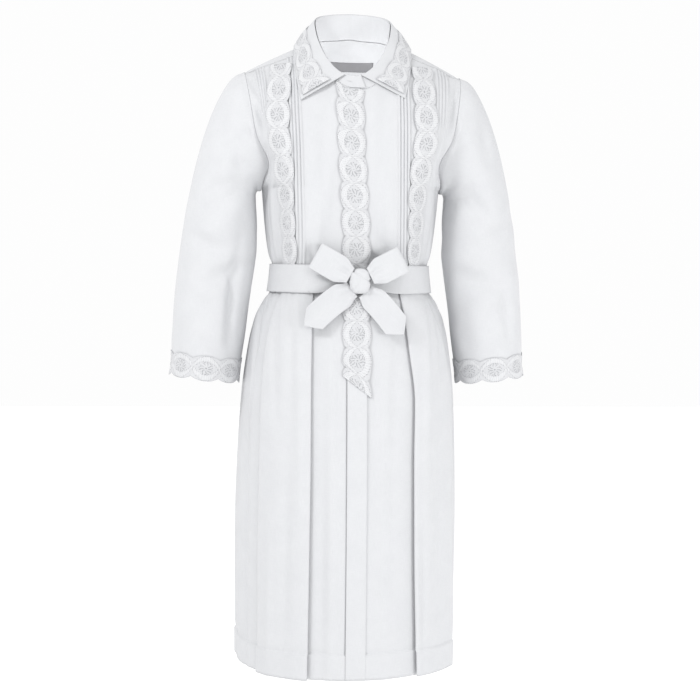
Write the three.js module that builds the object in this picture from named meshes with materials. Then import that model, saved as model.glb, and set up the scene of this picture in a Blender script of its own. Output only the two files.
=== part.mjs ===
import * as THREE from 'three';

// A kittel, filled out as if worn. Millimetres; +X is the wearer's left, -Y the front, +Z up.
// The origin is at the middle of the base of the neck, level with the shoulder seams there.

const waistZ = -485;
const hemZ = -1279;
const hemTurnZ = -1226;
const clothWall = 1.2;
const skirtWall = 1.0;
const hemWall = 1.8;
const seamGap = 0.3;
const underarmZ = -300;
const shoulderHalf = 225;
const neckHalf = 79;
const armholeTop = -62.7;
const capDepth = 200; // how far below the shoulder line the chest and back reach their full depth

const rad = Math.PI / 180;
const lerp = (a, b, t) => a + (b - a) * t;
const clamp = (t, low = 0, high = 1) => Math.min(high, Math.max(low, t));
const smooth = (from, to, t) => {
  const k = clamp((t - from) / (to - from));
  return k * k * (3 - 2 * k);
};
const ramp = (t) => (t > 30 ? t : Math.log(1 + Math.exp(t)));
const point = (x, y, z) => new THREE.Vector3(x, y, z);

// A table is a header of column names and its rows. A look-up gives every column, smoothly, at a value
// of the first one.
function table(names, ...rows) {
  const slopes = rows.map((row, i) => row.map((value, c) => {
    const before = rows[i - 1], after = rows[i + 1];
    if (!before || !after) return 0;
    const a = (value - before[c]) / (row[0] - before[0]);
    const b = (after[c] - value) / (after[0] - row[0]);
    return a * b <= 0 ? 0 : (2 * a * b) / (a + b);
  }));
  const last = rows.length - 1;
  slopes[0] = rows[0].map((value, c) => (rows[1][c] - value) / (rows[1][0] - rows[0][0]));
  const end = rows[last], nearEnd = rows[last - 1];
  slopes[last] = end.map((value, c) => (value - nearEnd[c]) / (end[0] - nearEnd[0]));
  const rising = rows[1][0] > rows[0][0];
  return (at) => {
    let i = 0;
    while (i < last - 1 && (rising ? at > rows[i + 1][0] : at < rows[i + 1][0])) i += 1;
    const a = rows[i], b = rows[i + 1], step = b[0] - a[0];
    const t = clamp((at - a[0]) / step), t2 = t * t, t3 = t2 * t;
    return Object.fromEntries(names.map((name, c) => [name,
      a[c] * (2 * t3 - 3 * t2 + 1) + slopes[i][c] * step * (t3 - 2 * t2 + t)
      + b[c] * (3 * t2 - 2 * t3) + slopes[i + 1][c] * step * (t3 - t2)]));
  };
}

// ---- Walls ----------------------------------------------------------------------------------------

const materials = {
  cloth: new THREE.MeshStandardMaterial({ color: 0xf1f2f4, roughness: 0.88, metalness: 0 }),
  lace: new THREE.MeshStandardMaterial({ color: 0xf6f6f7, roughness: 0.8, metalness: 0 }),
  label: new THREE.MeshStandardMaterial({ color: 0x9a9a9c, roughness: 0.75, metalness: 0 }),
};
const kittel = new THREE.Group();

function add(name, geometry, material = materials.cloth) {
  const mesh = new THREE.Mesh(geometry, material);
  mesh.name = name;
  kittel.add(mesh);
}

// Closes a grid of outer points and a grid of inner points, both [row][column], into one solid.
function closedWall(outer, inner, { ring = false, flip = false } = {}) {
  const rows = outer.length, columns = outer[0].length, across = ring ? columns : columns - 1;
  const positions = [...outer.flat(), ...inner.flat()].flatMap((p) => [p.x, p.y, p.z]);
  const at = (layer, r, c) => layer * rows * columns + r * columns + (c % columns);
  const index = [];
  const quad = (a, b, c, d) => (flip ? index.push(a, c, b, a, d, c) : index.push(a, b, c, a, c, d));
  for (let r = 0; r < rows - 1; r += 1) {
    for (let c = 0; c < across; c += 1) {
      quad(at(0, r, c), at(0, r, c + 1), at(0, r + 1, c + 1), at(0, r + 1, c));
      quad(at(1, r, c), at(1, r + 1, c), at(1, r + 1, c + 1), at(1, r, c + 1));
    }
    if (!ring) {
      quad(at(0, r, 0), at(0, r + 1, 0), at(1, r + 1, 0), at(1, r, 0));
      quad(at(0, r, across), at(1, r, across), at(1, r + 1, across), at(0, r + 1, across));
    }
  }
  for (let c = 0; c < across; c += 1) {
    quad(at(0, 0, c), at(1, 0, c), at(1, 0, c + 1), at(0, 0, c + 1));
    quad(at(0, rows - 1, c), at(0, rows - 1, c + 1), at(1, rows - 1, c + 1), at(1, rows - 1, c));
  }
  const geometry = new THREE.BufferGeometry();
  geometry.setAttribute('position', new THREE.Float32BufferAttribute(positions, 3));
  geometry.setIndex(index);
  return geometry;
}

// The outward normals of a grid of points, [row][column], with rows going up and columns going to +X
// on the front.
function normalsOf(grid, ring) {
  const rows = grid.length, columns = grid[0].length;
  return grid.map((row, r) => row.map((_, c) => {
    const left = ring ? (c + columns - 1) % columns : Math.max(c - 1, 0);
    const right = ring ? (c + 1) % columns : Math.min(c + 1, columns - 1);
    const along = row[right].clone().sub(row[left]);
    const up = grid[Math.min(r + 1, rows - 1)][c].clone().sub(grid[Math.max(r - 1, 0)][c]);
    return along.cross(up).normalize();
  }));
}

// A wall on a surface: `base` gives its points from a row and a column value, `lift` and `wall` its
// outer height over the base and its thickness, and `inward` may set the direction of its thickness.
function panel({
  rows, columns, base, inward, lift = () => 0, wall = () => clothWall, ring = false, mirror = false,
}) {
  const grid = rows.map((r) => columns.map((c) => base(r, c)));
  const normals = normalsOf(grid, ring);
  const moved = (amount) => grid.map((row, i) => row.map((p, j) => {
    const direction = (inward && inward(rows[i], columns[j], normals[i][j])) || normals[i][j];
    const q = p.clone().addScaledVector(direction, amount(rows[i], columns[j]));
    return mirror ? q.setX(-q.x) : q;
  }));
  const plain = lift.plain || lift;
  return closedWall(moved(lift), moved((r, c) => plain(r, c) - wall(r, c)), { ring, flip: mirror });
}

// ---- Armhole and sleeve rings ---------------------------------------------------------------------

// Each ring's highest or outermost point, its lowest or innermost point, and its half depths.
const sleeveRing = table(['at', 'outX', 'outZ', 'inX', 'inZ', 'front', 'back', 'scoop'],
  [0, shoulderHalf, armholeTop, 186, underarmZ, 78, 72, 18],
  [1, 250, -81, 190, -303, 82, 76, 10],
  [2, 280, -127, 195, -306, 84, 78, 4],
  [3, 304, -190, 198, -310, 83, 79, 0],
  [4, 321, -252, 199, -317, 80, 78, 0],
  [5, 334, -312, 198, -330, 77, 77, 0],
  [6, 346, -374, 194, -384, 74, 76, 0],
  [7, 352, -417, 195, -427, 72, 75, 0],
  [8, 357, -458, 200, -470, 71, 74, 0],
  [9, 361, -500, 206, -513, 71, 73, 0],
  [10, 364, -541, 212, -555, 70, 72, 0],
  [11, 366, -582, 217, -597, 69, 70, 0],
  [12, 368, -623, 223, -638, 68, 68, 0],
  [13, 367.5, -655, 228, -671, 67, 67, 0],
  [14, 371.5, -688, 231, -704, 67, 67, 0]);

// Soft diagonal folds of the sleeve: the ring and the angle where each is deepest, its reach and slant.
const sleeveFolds = [
  { at: 1.7, angle: 285, depth: 9, along: 1.1, round: 16, slant: 14 },
  { at: 3.2, angle: 300, depth: 5, along: 1.6, round: 18, slant: 12 },
  { at: 6.6, angle: 250, depth: 6, along: 0.9, round: 42, slant: 34 },
  { at: 7.9, angle: 285, depth: 6, along: 0.8, round: 44, slant: -30 },
  { at: 9.2, angle: 240, depth: 5, along: 1.0, round: 36, slant: 26 },
  { at: 11.0, angle: 222, depth: 5, along: 2.4, round: 15, slant: 0 },
  { at: 7.4, angle: 85, depth: 5, along: 0.9, round: 40, slant: -28 },
  { at: 9.6, angle: 110, depth: 4, along: 1.1, round: 34, slant: 24 },
];

function foldDepth(at, angle) {
  return sleeveFolds.reduce((sum, fold) => {
    const turn = ((angle / rad - fold.angle + 540) % 360) - 180;
    const off = (at - fold.at - (turn / 90) * (fold.slant / 30)) / fold.along;
    return sum + fold.depth * Math.exp(-off * off - (turn / fold.round) ** 2 / 1.6);
  }, 0);
}

// A point of the wearer's left sleeve. Angle 0 is the outermost point, 90 degrees the back, 270 the front.
function sleevePoint(at, angle) {
  const ring = sleeveRing(at);
  const c = Math.cos(angle), s = Math.sin(angle);
  const shrink = 1 - foldDepth(at, angle) / 75;
  const x = lerp(ring.inX, ring.outX, 0.5 + 0.5 * c * shrink);
  const z = lerp(ring.inZ, ring.outZ, 0.5 + 0.5 * c * shrink);
  const depth = s < 0 ? ring.front : ring.back;
  const scoop = s < 0 ? ring.scoop * Math.exp(-(((c + 0.58) / 0.3) ** 2)) * Math.min(1, -s * 1.5) : 0;
  const gap = seamGap * (1 - smooth(0, 0.6, at));
  return point(x - scoop + gap, depth * s * shrink, z);
}

// The edge of a bodice piece at height z: side is -1 for the front and 1 for the back.
const bodySide = table(['z', 'half'],
  [underarmZ, 186], [-336, 183], [-378, 179], [-420, 173.5], [-441, 169], [-457, 162.5], [waistZ, 158]);

function edgeAt(z, side) {
  if (z >= armholeTop) return { x: shoulderHalf, y: seamGap / 2 };
  if (z <= underarmZ) return { x: bodySide(z).half, y: seamGap / 2 };
  const ring = sleeveRing(0);
  const c = 2 * (z - ring.inZ) / (ring.outZ - ring.inZ) - 1;
  const p = sleevePoint(0, side * Math.acos(c));
  return { x: p.x - seamGap, y: Math.max(Math.abs(p.y), seamGap / 2) };
}

// ---- Bodice form ----------------------------------------------------------------------------------

// Depths at the middle, and how far from the middle the front and back start to turn to the sides.
const bodiceForm = table(['z', 'front', 'back', 'cornerFront', 'cornerBack', 'soft', 'sideRound'],
  [40, 112, 106, 168, 150, 10, 4],
  [-97, 119, 113, 168, 150, 10, 4],
  [-200, 122, 117, 166, 140, 10, 4],
  [underarmZ, 122, 113, 138, 125, 14, 7],
  [-378, 119, 107, 118, 112, 13, 8],
  [-436, 115, 101, 108, 104, 12, 8],
  [-457, 110, 97, 105, 101, 12, 8],
  [waistZ, 107, 94, 102, 98, 12, 8]);

// The shoulder line, carried on inside the neck, where the back rises behind it.
function ridge(x, side) {
  const out = Math.hypot(x, 16) - 76;
  const nape = side > 0 && Math.abs(x) < 76 ? 26 * (1 - (x / 76) ** 4) : 0;
  return 8 - 0.4 * out - 0.0005 * out * out + nape;
}

// How far from the middle a section runs, measured so that it closes square on its edge.
function sectionReach(z, side) {
  return edgeAt(z, side).x + 1.7 * bodiceForm(z).sideRound;
}

// A point of the bodice, p from the middle at height z, on the front (side -1) or the back (side 1).
function shellPoint(p, z, side) {
  const form = bodiceForm(z), edge = edgeAt(z, side), round = form.sideRound;
  const x = p - round * ramp((p - edge.x - 0.2 * round) / round);
  const corner = side < 0 ? form.cornerFront : form.cornerBack;
  const bend = (q) => ramp((q - corner) / form.soft) - ramp(-corner / form.soft);
  const turned = bend(p) / bend(edge.x + 1.7 * round);
  const drop = clamp((ridge(x, side) - z) / capDepth);
  const depth = (side < 0 ? form.front : form.back) * (1 - (1 - drop) ** 2) ** 0.6;
  return point(x, side * lerp(depth, edge.y, turned), z);
}

// The same surface near the shoulders, by the angle in degrees over the shoulder line, negative in front.
function capZ(p, tilt) {
  return ridge(p, Math.sign(tilt)) - capDepth * (1 - Math.cos(tilt * rad));
}

// The neck seam, by the turn in degrees from the middle front.
function neckAt(turn) {
  const c = Math.cos(turn * rad), s = Math.sin(turn * rad);
  return { p: Math.sign(s) * neckHalf * Math.abs(s) ** 0.85, tilt: c > 0 ? -70.4 * c : -35.4 * c };
}

const yokeTurn = 67.4; // where the seam of the yoke meets the neck
const frontNeckTurns = [0, 14, 24, 36, 48, 58, yokeTurn];
const yokeNeckTurns = [180, 160, 140, 122, 106, 92, 80, yokeTurn];
const yokeNeck = neckAt(yokeTurn);
const yokeBackZ = -105;
const yokeFrontTilt = (p) => -27 + 15 * clamp((p - 80) / 145) ** 1.6;
const seamTilt = 0.68; // keeps the fronts' straight edges clear of the yoke's

function frontTopZ(p) {
  const q = Math.abs(p);
  if (q >= yokeNeck.p) return capZ(q, yokeFrontTilt(q) - seamTilt - 1.2 * clamp((q - 180) / 38));
  const s = (q / neckHalf) ** (1 / 0.85);
  return capZ(q, -70.4 * Math.sqrt(1 - s * s));
}

// ---- Fronts, with their pin tucks -----------------------------------------------------------------

const tuckLine = table(['z', 'right', 'left'],
  [0, 127, 92], [-125, 126, 92], [-250, 121, 93], [-428, 113, 95], [waistZ, 112, 94]);
const innerTucks = { count: 4, pitch: 6.6, height: 1.3 };
const outerTucks = { count: 4, from: 0.47, pitch: 0.062, height: 1.0, fade: [-187, -163] };
const placketHalf = 19.7;
const frontEdges = { over: placketHalf + seamGap, under: 3 - placketHalf };

function frontColumns(start, wearer) {
  const top = tuckLine(0)[wearer] - innerTucks.count * innerTucks.pitch / 2;
  const atTop = [start, ...frontNeckTurns.map((turn) => neckAt(turn).p), (yokeNeck.p + top) / 2];
  const centre = atTop.filter((p) => p >= start)
    .map((p) => ({ zone: 'centre', start, share: (p - start) / (top - start) }));
  const tucks = [];
  for (let i = 0; i <= 2 * innerTucks.count; i += 1) {
    tucks.push({ zone: 'tucks', offset: (i - innerTucks.count) * innerTucks.pitch / 2, ridge: i % 2 });
  }
  const outer = [0.2, 0.36].map((share) => ({ zone: 'outer', share }));
  for (let i = 0; i <= 2 * outerTucks.count; i += 1) {
    outer.push({ zone: 'outer', share: outerTucks.from + i * outerTucks.pitch / 2, fine: i % 2 });
  }
  outer.push({ zone: 'outer', share: 0.86 }, { zone: 'outer', share: 1 });
  return [...centre, ...tucks, ...outer].map((column) => ({ ...column, wearer }));
}

function acrossFront(column, z) {
  const tucks = tuckLine(z)[column.wearer], half = innerTucks.count * innerTucks.pitch / 2;
  if (column.zone === 'centre') return lerp(column.start, tucks - half, column.share);
  if (column.zone === 'tucks') return tucks + column.offset;
  return lerp(tucks + half, sectionReach(z, -1), column.share);
}

function frontHeight(share, column) {
  let top = 0;
  for (let i = 0; i < 5; i += 1) top = frontTopZ(Math.min(acrossFront(column, top), shoulderHalf));
  return lerp(waistZ + seamGap / 2, top, share);
}

// The thickness of a piece's edge lies square to its seam: at the side seam across X, at the armhole
// never towards the sleeve.
function squareEdge(normal, z) {
  const n = normal.clone();
  if (z <= underarmZ + 1) n.y = 0;
  n.x = Math.max(n.x, 0);
  return n.normalize();
}

const bodiceRows = [0, 0.07, 0.19, 0.32, 0.4432, 0.51, 0.585, 0.678, 0.777, 0.87, 0.945, 1];

function front(wearer, start, mirror) {
  const lift = (share, column) => {
    if (column.ridge) return innerTucks.height;
    if (column.fine) return outerTucks.height * smooth(...outerTucks.fade, frontHeight(share, column));
    return 0;
  };
  lift.plain = () => 0;
  add(`front_${wearer}`, panel({
    rows: bodiceRows,
    columns: frontColumns(start, wearer),
    mirror,
    lift,
    base: (share, column) => {
      const z = frontHeight(share, column);
      return shellPoint(acrossFront(column, z), z, -1);
    },
    inward: (share, column, normal) => (column.share === 1 && column.zone === 'outer'
      ? squareEdge(normal, frontHeight(share, column)) : undefined),
  }));
}
front('right', frontEdges.over, true);
front('left', frontEdges.under, false);

// ---- Back and yoke --------------------------------------------------------------------------------

const evenly = (from, to, count) => Array.from({ length: count + 1 }, (_, i) => lerp(from, to, i / count));

function backPoint(share, part) {
  const z = lerp(waistZ + seamGap / 2, yokeBackZ - 2 * seamGap, share);
  const p = shellPoint(Math.abs(part) * sectionReach(z, 1), z, 1);
  return part < 0 ? p.setX(-p.x) : p;
}

function back() {
  const half = [0, 0.2, 0.4, 0.56, 0.68, 0.78, 0.87, 0.94, 1];
  // The back's columns go to -X, so that its rows and columns turn outwards.
  const columns = [...half.slice(1).reverse(), ...half.map((c) => -c)];
  add('back', panel({
    rows: [0, 0.075, 0.2, 0.34, 0.4876, 0.561, 0.644, 0.746, 0.855, 1],
    columns,
    base: backPoint,
    inward: (share, part, normal) => {
      if (Math.abs(part) < 1) return undefined;
      const out = Math.sign(part);
      const n = squareEdge(normal.clone().setX(normal.x * out), backPoint(share, part).z);
      return n.setX(n.x * out);
    },
  }));
}
back();

function yokeColumns() {
  const seamAt = [96, 122, 147, 176, 202, 217];
  const neckFeet = [0, 14, 28, 43, 58, 73, 86, 93];
  const neck = yokeNeckTurns.map((turn, i) => ({ ...neckAt(turn), foot: neckFeet[i] }));
  const seam = seamAt.map((p) => ({ p, tilt: yokeFrontTilt(p), foot: p + 7 * (1 - (p - 96) / 109) }));
  return [...neck, ...seam, { edge: true, tilt: yokeFrontTilt(shoulderHalf) }];
}

function yokePoint(share, column) {
  const foot = column.edge ? shoulderHalf : column.foot;
  const footTilt = Math.acos(1 - (ridge(foot, 1) - yokeBackZ) / capDepth) / rad;
  const tilt = lerp(footTilt, column.tilt, share);
  const side = tilt < 0 ? -1 : 1;
  const p = column.edge ? shoulderHalf : lerp(foot, column.p, share);
  const z = capZ(p, tilt || 1e-6);
  const q = shellPoint(column.edge ? sectionReach(z, side) : p, z, side);
  return column.flip ? q : q.setX(-q.x);
}

function yoke() {
  const half = yokeColumns();
  const columns = [...half.slice(1).reverse().map((c) => ({ ...c, flip: true })), ...half];
  add('yoke', panel({
    rows: [0, 0.2, 0.38, 0.55, 0.7, 0.85, 1],
    columns,
    base: yokePoint,
    inward: (share, column, normal) => {
      if (!column.edge) return undefined;
      const out = column.flip ? 1 : -1;
      const n = normal.clone();
      n.x = out * Math.max(n.x * out, 0);
      return n.normalize();
    },
  }));
}
yoke();

// ---- Sleeves and lace cuffs -----------------------------------------------------------------------

function sleeve(name, mirror) {
  add(name, panel({
    rows: [13, 12, 11, 10, 9.1, 8.3, 7.5, 6.7, 5.9, 5, 4, 3, 2, 1, 0],
    columns: evenly(0, 360, 18).slice(0, 18).map((angle) => -angle * rad),
    ring: true,
    mirror,
    base: sleevePoint,
    inward: (at, angle, normal) => {
      if (at > 0) return undefined;
      const n = normal.clone();
      n.x = Math.min(n.x, 0);
      return n.normalize();
    },
  }));
}

const cuffLace = { scallops: 8, steps: 5, off: 3.0, wall: 1.0, scallop: 5, topRow: 12.45, endRow: 14 };

// The lace cuff lies over the sleeve's end and reaches below it, with a scalloped edge above and below.
function cuff(name, mirror) {
  const count = cuffLace.scallops * cuffLace.steps;
  const columns = evenly(0, 360, count).slice(0, count).map((angle) => angle * rad);
  const edge = (angle) => cuffLace.scallop * (1 - Math.abs(Math.cos(cuffLace.scallops * angle / 2))) ** 1.4;
  add(name, panel({
    rows: [1, 0.5, 0],
    columns,
    ring: true,
    mirror,
    wall: () => cuffLace.wall,
    lift: () => cuffLace.off,
    base: (down, angle) => {
      const p = sleevePoint(lerp(cuffLace.topRow, cuffLace.endRow, down), angle);
      return p.setZ(p.z + edge(angle) * (2 * down - 1));
    },
  }), materials.lace);
}
for (const [suffix, mirror] of [['right', true], ['left', false]]) {
  sleeve(`sleeve_${suffix}`, mirror);
  cuff(`cuff_lace_${suffix}`, mirror);
}

// ---- Placket and laces of the bodice --------------------------------------------------------------

// At the waist seam a piece's edge lies level.
const levelEnd = (end) => (row, column, normal) => (row === end
  ? normal.clone().setZ(0).normalize() : undefined);

const bandLift = 2.8; // the placket's outer face over the fronts
const bandWall = 2.2;
const laceWall = 1.0;

// The point a given length across from a line at p, measured on the cloth.
function crossFrom(p, z, length) {
  const step = Math.sign(length) * 2;
  let q = p, done = 0, before = shellPoint(q, z, -1);
  while (Math.abs(length) - done > 1e-6) {
    const part = Math.min(Math.abs(length) - done, 2);
    const next = shellPoint(q + Math.sign(step) * part, z, -1);
    const moved = next.distanceTo(before);
    const share = Math.min(1, (Math.abs(length) - done) / Math.max(moved, 1e-6));
    q += Math.sign(step) * part * share;
    done += moved * share;
    before = shellPoint(q, z, -1);
  }
  return q;
}

// The half width of a lace strip whose outline bulges at each medallion.
function scalloped(strip, t) {
  const wave = Math.abs(Math.cos(Math.PI * strip.medallions * t));
  return lerp(strip.narrow, strip.wide, Math.sqrt(wave));
}

const stripRows = (strip) => evenly(0, 1, strip.medallions * strip.steps);

// Higher up, the placket lies a little to the wearer's right.
const placketLean = (z) => -16 * smooth(waistZ + 40, -120, z);

function placketBodice() {
  add('placket_bodice', panel({
    rows: bodiceRows,
    columns: [-1, -0.5, 0, 0.5, 1],
    lift: () => bandLift,
    wall: () => bandWall,
    inward: levelEnd(0),
    base: (share, part) => {
      const height = lerp(waistZ + seamGap / 2, frontTopZ(part * placketHalf), share);
      const p = part * placketHalf + placketLean(height);
      return shellPoint(p, lerp(waistZ + seamGap / 2, frontTopZ(p) - 0.3, share), -1);
    },
  }));
}
placketBodice();

const placketLace = { wide: 29, narrow: 20.5, medallions: 7, steps: 5 };

// Over the band the lace lies on it, and past its edges it comes down to the fronts. x is taken from
// the band's middle.
function overBand(x) {
  const down = smooth(placketHalf + 0.8, placketHalf + 8, Math.abs(x));
  return lerp(bandLift, 0.8, down) + 4 * seamGap + laceWall;
}

function placketLaceUpper() {
  const width = (t, part) => part * scalloped(placketLace, t);
  add('placket_lace_upper', panel({
    rows: stripRows(placketLace),
    columns: [-1, -0.72, 0, 0.72, 1],
    wall: () => laceWall,
    lift: (t, part) => overBand(width(t, part)),
    base: (t, part) => {
      const height = lerp(waistZ + 6, frontTopZ(width(t, part)) - 3, t);
      const p = width(t, part) + placketLean(height);
      return shellPoint(p, lerp(waistZ + 6, frontTopZ(p) - 3, t), -1);
    },
  }), materials.lace);
}
placketLaceUpper();

const sideLace = {
  wide: 25, narrow: 18, medallions: 8, steps: 6, topZ: -52, endZ: -480, lift: 3.1, ease: 2.5,
};
const sideLaceLine = table(['z', 'right', 'left'],
  [sideLace.topZ, 152, 137], [-100, 157, 136], [-147, 161, 138], [-191, 161, 140], [-245, 152, 133],
  [-313, 143, 126], [-374, 137, 124], [-425, 132, 122], [waistZ, 128, 120]);

function sideLaceStrip(wearer, mirror) {
  add(`side_lace_${wearer}`, panel({
    rows: stripRows(sideLace),
    columns: [-1, 0, 1],
    mirror,
    wall: () => laceWall,
    lift: (t) => sideLace.lift + sideLace.ease * smooth(-440, -400, lerp(sideLace.endZ, sideLace.topZ, t)),
    base: (t, part) => {
      const z = lerp(sideLace.endZ, sideLace.topZ, t);
      return shellPoint(crossFrom(sideLaceLine(z)[wearer], z, part * scalloped(sideLace, t)), z, -1);
    },
  }), materials.lace);
}
sideLaceStrip('right', true);
sideLaceStrip('left', false);

// ---- Collar ---------------------------------------------------------------------------------------

// The fold of the collar, by the turn in degrees from the middle front.
const rollLine = table(['turn', 'x', 'y', 'z'],
  [0, 0, -101, -76], [12, 19, -98, -71], [35, 45, -84, -48], [55, 62, -64, -18], [75, 74, -36, 18],
  [95, 78, -6, 46], [120, 70, 26, 62], [150, 42, 51, 72], [180, 0, 60, 76]);
const overlapTurn = 8.8;
const rollTwist = 0.09; // the collar's opening sits a little to the wearer's right
const standWall = 1.6;
const foldDrop = 5; // from the collar's fold down to the stand's top edge

const onLeft = (turn) => turn <= 180;
const halfTurn = (turn) => Math.abs(onLeft(turn) ? turn : 360 - turn);
const handed = (turn) => ((onLeft(turn) ? 1 : -1) * (turn < 0 || turn > 360 ? -1 : 1));

function rollPoint(turn) {
  const row = rollLine(halfTurn(turn));
  return point(handed(turn) * row.x + rollTwist * row.y, row.y, row.z);
}

function neckSeam(turn) {
  const neck = neckAt(halfTurn(turn));
  const side = neck.tilt < 0 ? -1 : 1;
  const p = shellPoint(neck.p, capZ(neck.p, neck.tilt), side);
  return p.setX(handed(turn) * p.x);
}

const leftTurns = [...frontNeckTurns.slice(0, -1), ...[...yokeNeckTurns].reverse()];
const allTurns = [...leftTurns, ...leftTurns.slice(1, -1).reverse().map((turn) => 360 - turn)];

// The stand goes once round the neck; its wearer's right end laps over its left one.
function standPoint(share, turn) {
  const foot = neckSeam(turn), top = rollPoint(turn);
  const up = top.clone().sub(foot);
  const length = up.length();
  up.normalize();
  return foot.addScaledVector(up, lerp(seamGap + 0.7, length - foldDrop, share));
}

const overlapLift = (turn) => 2.6 * smooth(322, 346, turn);

function collarStand() {
  const turns = [-overlapTurn, -4, 0, ...allTurns.slice(1), 360, 364, 360 + overlapTurn];
  add('collar_stand', panel({
    rows: [0, 0.5, 1],
    columns: turns,
    wall: () => standWall,
    lift: (share, turn) => overlapLift(turn),
    inward: (share, turn, normal) => normal.clone().setZ(0).normalize(),
    base: standPoint,
  }));
}
collarStand();

// The leaf's outer edge, over the fronts, the shoulders and the back.
const leafEdge = table(['turn', 'x', 'tilt'],
  [9.5, 106, -66.6], [40, 114, -53], [70, 119, -38], [100, 123, -6],
  [125, 108, 12], [150, 72, 27], [165, 40, 39], [180, 0, 47]);
const leafGap = 3.6;
const leafBend = { off: 5, drop: 2, belly: 2.5 };
const leafStart = 9.5;

function leafOuter(turn) {
  const row = leafEdge(halfTurn(turn));
  const side = row.tilt < 0 ? -1 : 1;
  const depth = shellPoint(row.x, capZ(row.x, row.tilt), side).y;
  const x = row.x + handed(turn) * rollTwist * Math.min(depth, 0);
  const p = shellPoint(x, capZ(x, row.tilt), side);
  const gap = leafGap + 2.6 * smooth(125, 160, halfTurn(turn));
  return point(handed(turn) * p.x, p.y + side * gap * Math.sin(Math.abs(row.tilt) * rad),
    p.z + gap * Math.cos(row.tilt * rad));
}

// A point of the leaf, from the stand's top edge (0) over the fold to the outer edge (1).
function leafPoint(share, turn) {
  const roll = rollPoint(turn);
  const out = point(roll.x, roll.y + 20, 0).normalize();
  const lapped = overlapLift(turn);
  const start = standPoint(1, turn).addScaledVector(out, 1.4 + lapped).add(point(0, 0, 0.9));
  const crest = roll.clone().addScaledVector(out, 2.5 + lapped);
  const bent = roll.clone().addScaledVector(out, leafBend.off + lapped).add(point(0, 0, -leafBend.drop));
  if (share <= 0.05) return start.lerp(crest, share / 0.05);
  if (share <= 0.1) return crest.lerp(bent, (share - 0.05) / 0.05);
  const t = (share - 0.1) / 0.9;
  const edge = leafOuter(turn);
  const q = bent.lerp(edge, t).addScaledVector(out, leafBend.belly * Math.sin(Math.PI * t));
  if (halfTurn(turn) < 72 && q.z < ridge(q.x, -1) - 4) {
    q.y = Math.min(q.y, shellPoint(Math.abs(q.x), q.z, -1).y - leafGap);
  }
  return q;
}

function collarLeaf() {
  const turns = [leafStart, ...allTurns.slice(1), 360 - leafStart];
  add('collar_leaf', panel({
    rows: [1, 0.8, 0.58, 0.34, 0.1, 0.05, 0],
    columns: turns,
    wall: () => clothWall,
    base: leafPoint,
  }));
}
collarLeaf();

// The collar laces lie on the leaf, a little in from its outer edge.
const collarLace = { middle: 0.64, wide: 0.3, narrow: 0.22, medallions: 4, steps: 6, from: 14, to: 118 };

function collarLaceStrip(name, wearersRight) {
  const turnAt = (t) => (wearersRight
    ? 360 - lerp(collarLace.to, collarLace.from, t) : lerp(collarLace.from, collarLace.to, t));
  add(name, panel({
    rows: [1, 0, -1],
    columns: stripRows(collarLace),
    wall: () => laceWall,
    lift: (part, t) => laceWall + 0.9 + 1.1 * smooth(45, 25, halfTurn(turnAt(t))),
    base: (part, t) => leafPoint(collarLace.middle + part * scalloped(collarLace, t), turnAt(t)),
  }), materials.lace);
}
collarLaceStrip('collar_lace_right', true);
collarLaceStrip('collar_lace_left', false);

function neckLabel() {
  const label = { half: 54, top: -24, end: -43 };
  add('neck_label', panel({
    rows: [1, 0],
    columns: evenly(1, -1, 8),
    wall: () => 0.8,
    lift: () => seamGap - clothWall,
    base: (share, part) => {
      const q = shellPoint(label.half, lerp(label.end, label.top, share), 1);
      const p = shellPoint(Math.abs(part) * q.x, q.z, 1);
      return part < 0 ? p.setX(-p.x) : p;
    },
  }), materials.label);
}
neckLabel();

// ---- Skirt ----------------------------------------------------------------------------------------

// Half width and depths of the plain skirt, how round its section is, and its box pleats: where the
// inner fold lies on each side, the pleat's width, how deep it folds under, and how far it stands off.
const skirtForm = table(
  ['z', 'half', 'front', 'back', 'round', 'innerRight', 'innerLeft', 'width', 'fold', 'stand'],
  [waistZ, 158, 107, 94, 0, 82, 85, 82, 13, 5.2],
  [-514, 166, 113, 100, 0.1, 83, 88, 86, 15, 5.6],
  [-530, 178, 122, 111, 0.3, 84, 91, 91, 16, 6.2],
  [-567, 197, 136, 124, 0.6, 86, 97, 100, 20, 7.6],
  [-630, 211, 150, 137, 0.9, 88, 106, 108, 24, 8.8],
  [-730, 222, 163, 148, 1, 89, 118, 114, 28, 9.6],
  [-850, 227, 174, 158, 1, 89, 116, 117, 30, 10.2],
  [-1000, 229.5, 183, 166, 1, 90, 117, 119, 31, 10.8],
  [hemZ, 226, 192, 174, 1, 92, 125, 121, 32, 11.5]);

const sections = new Map();

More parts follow.
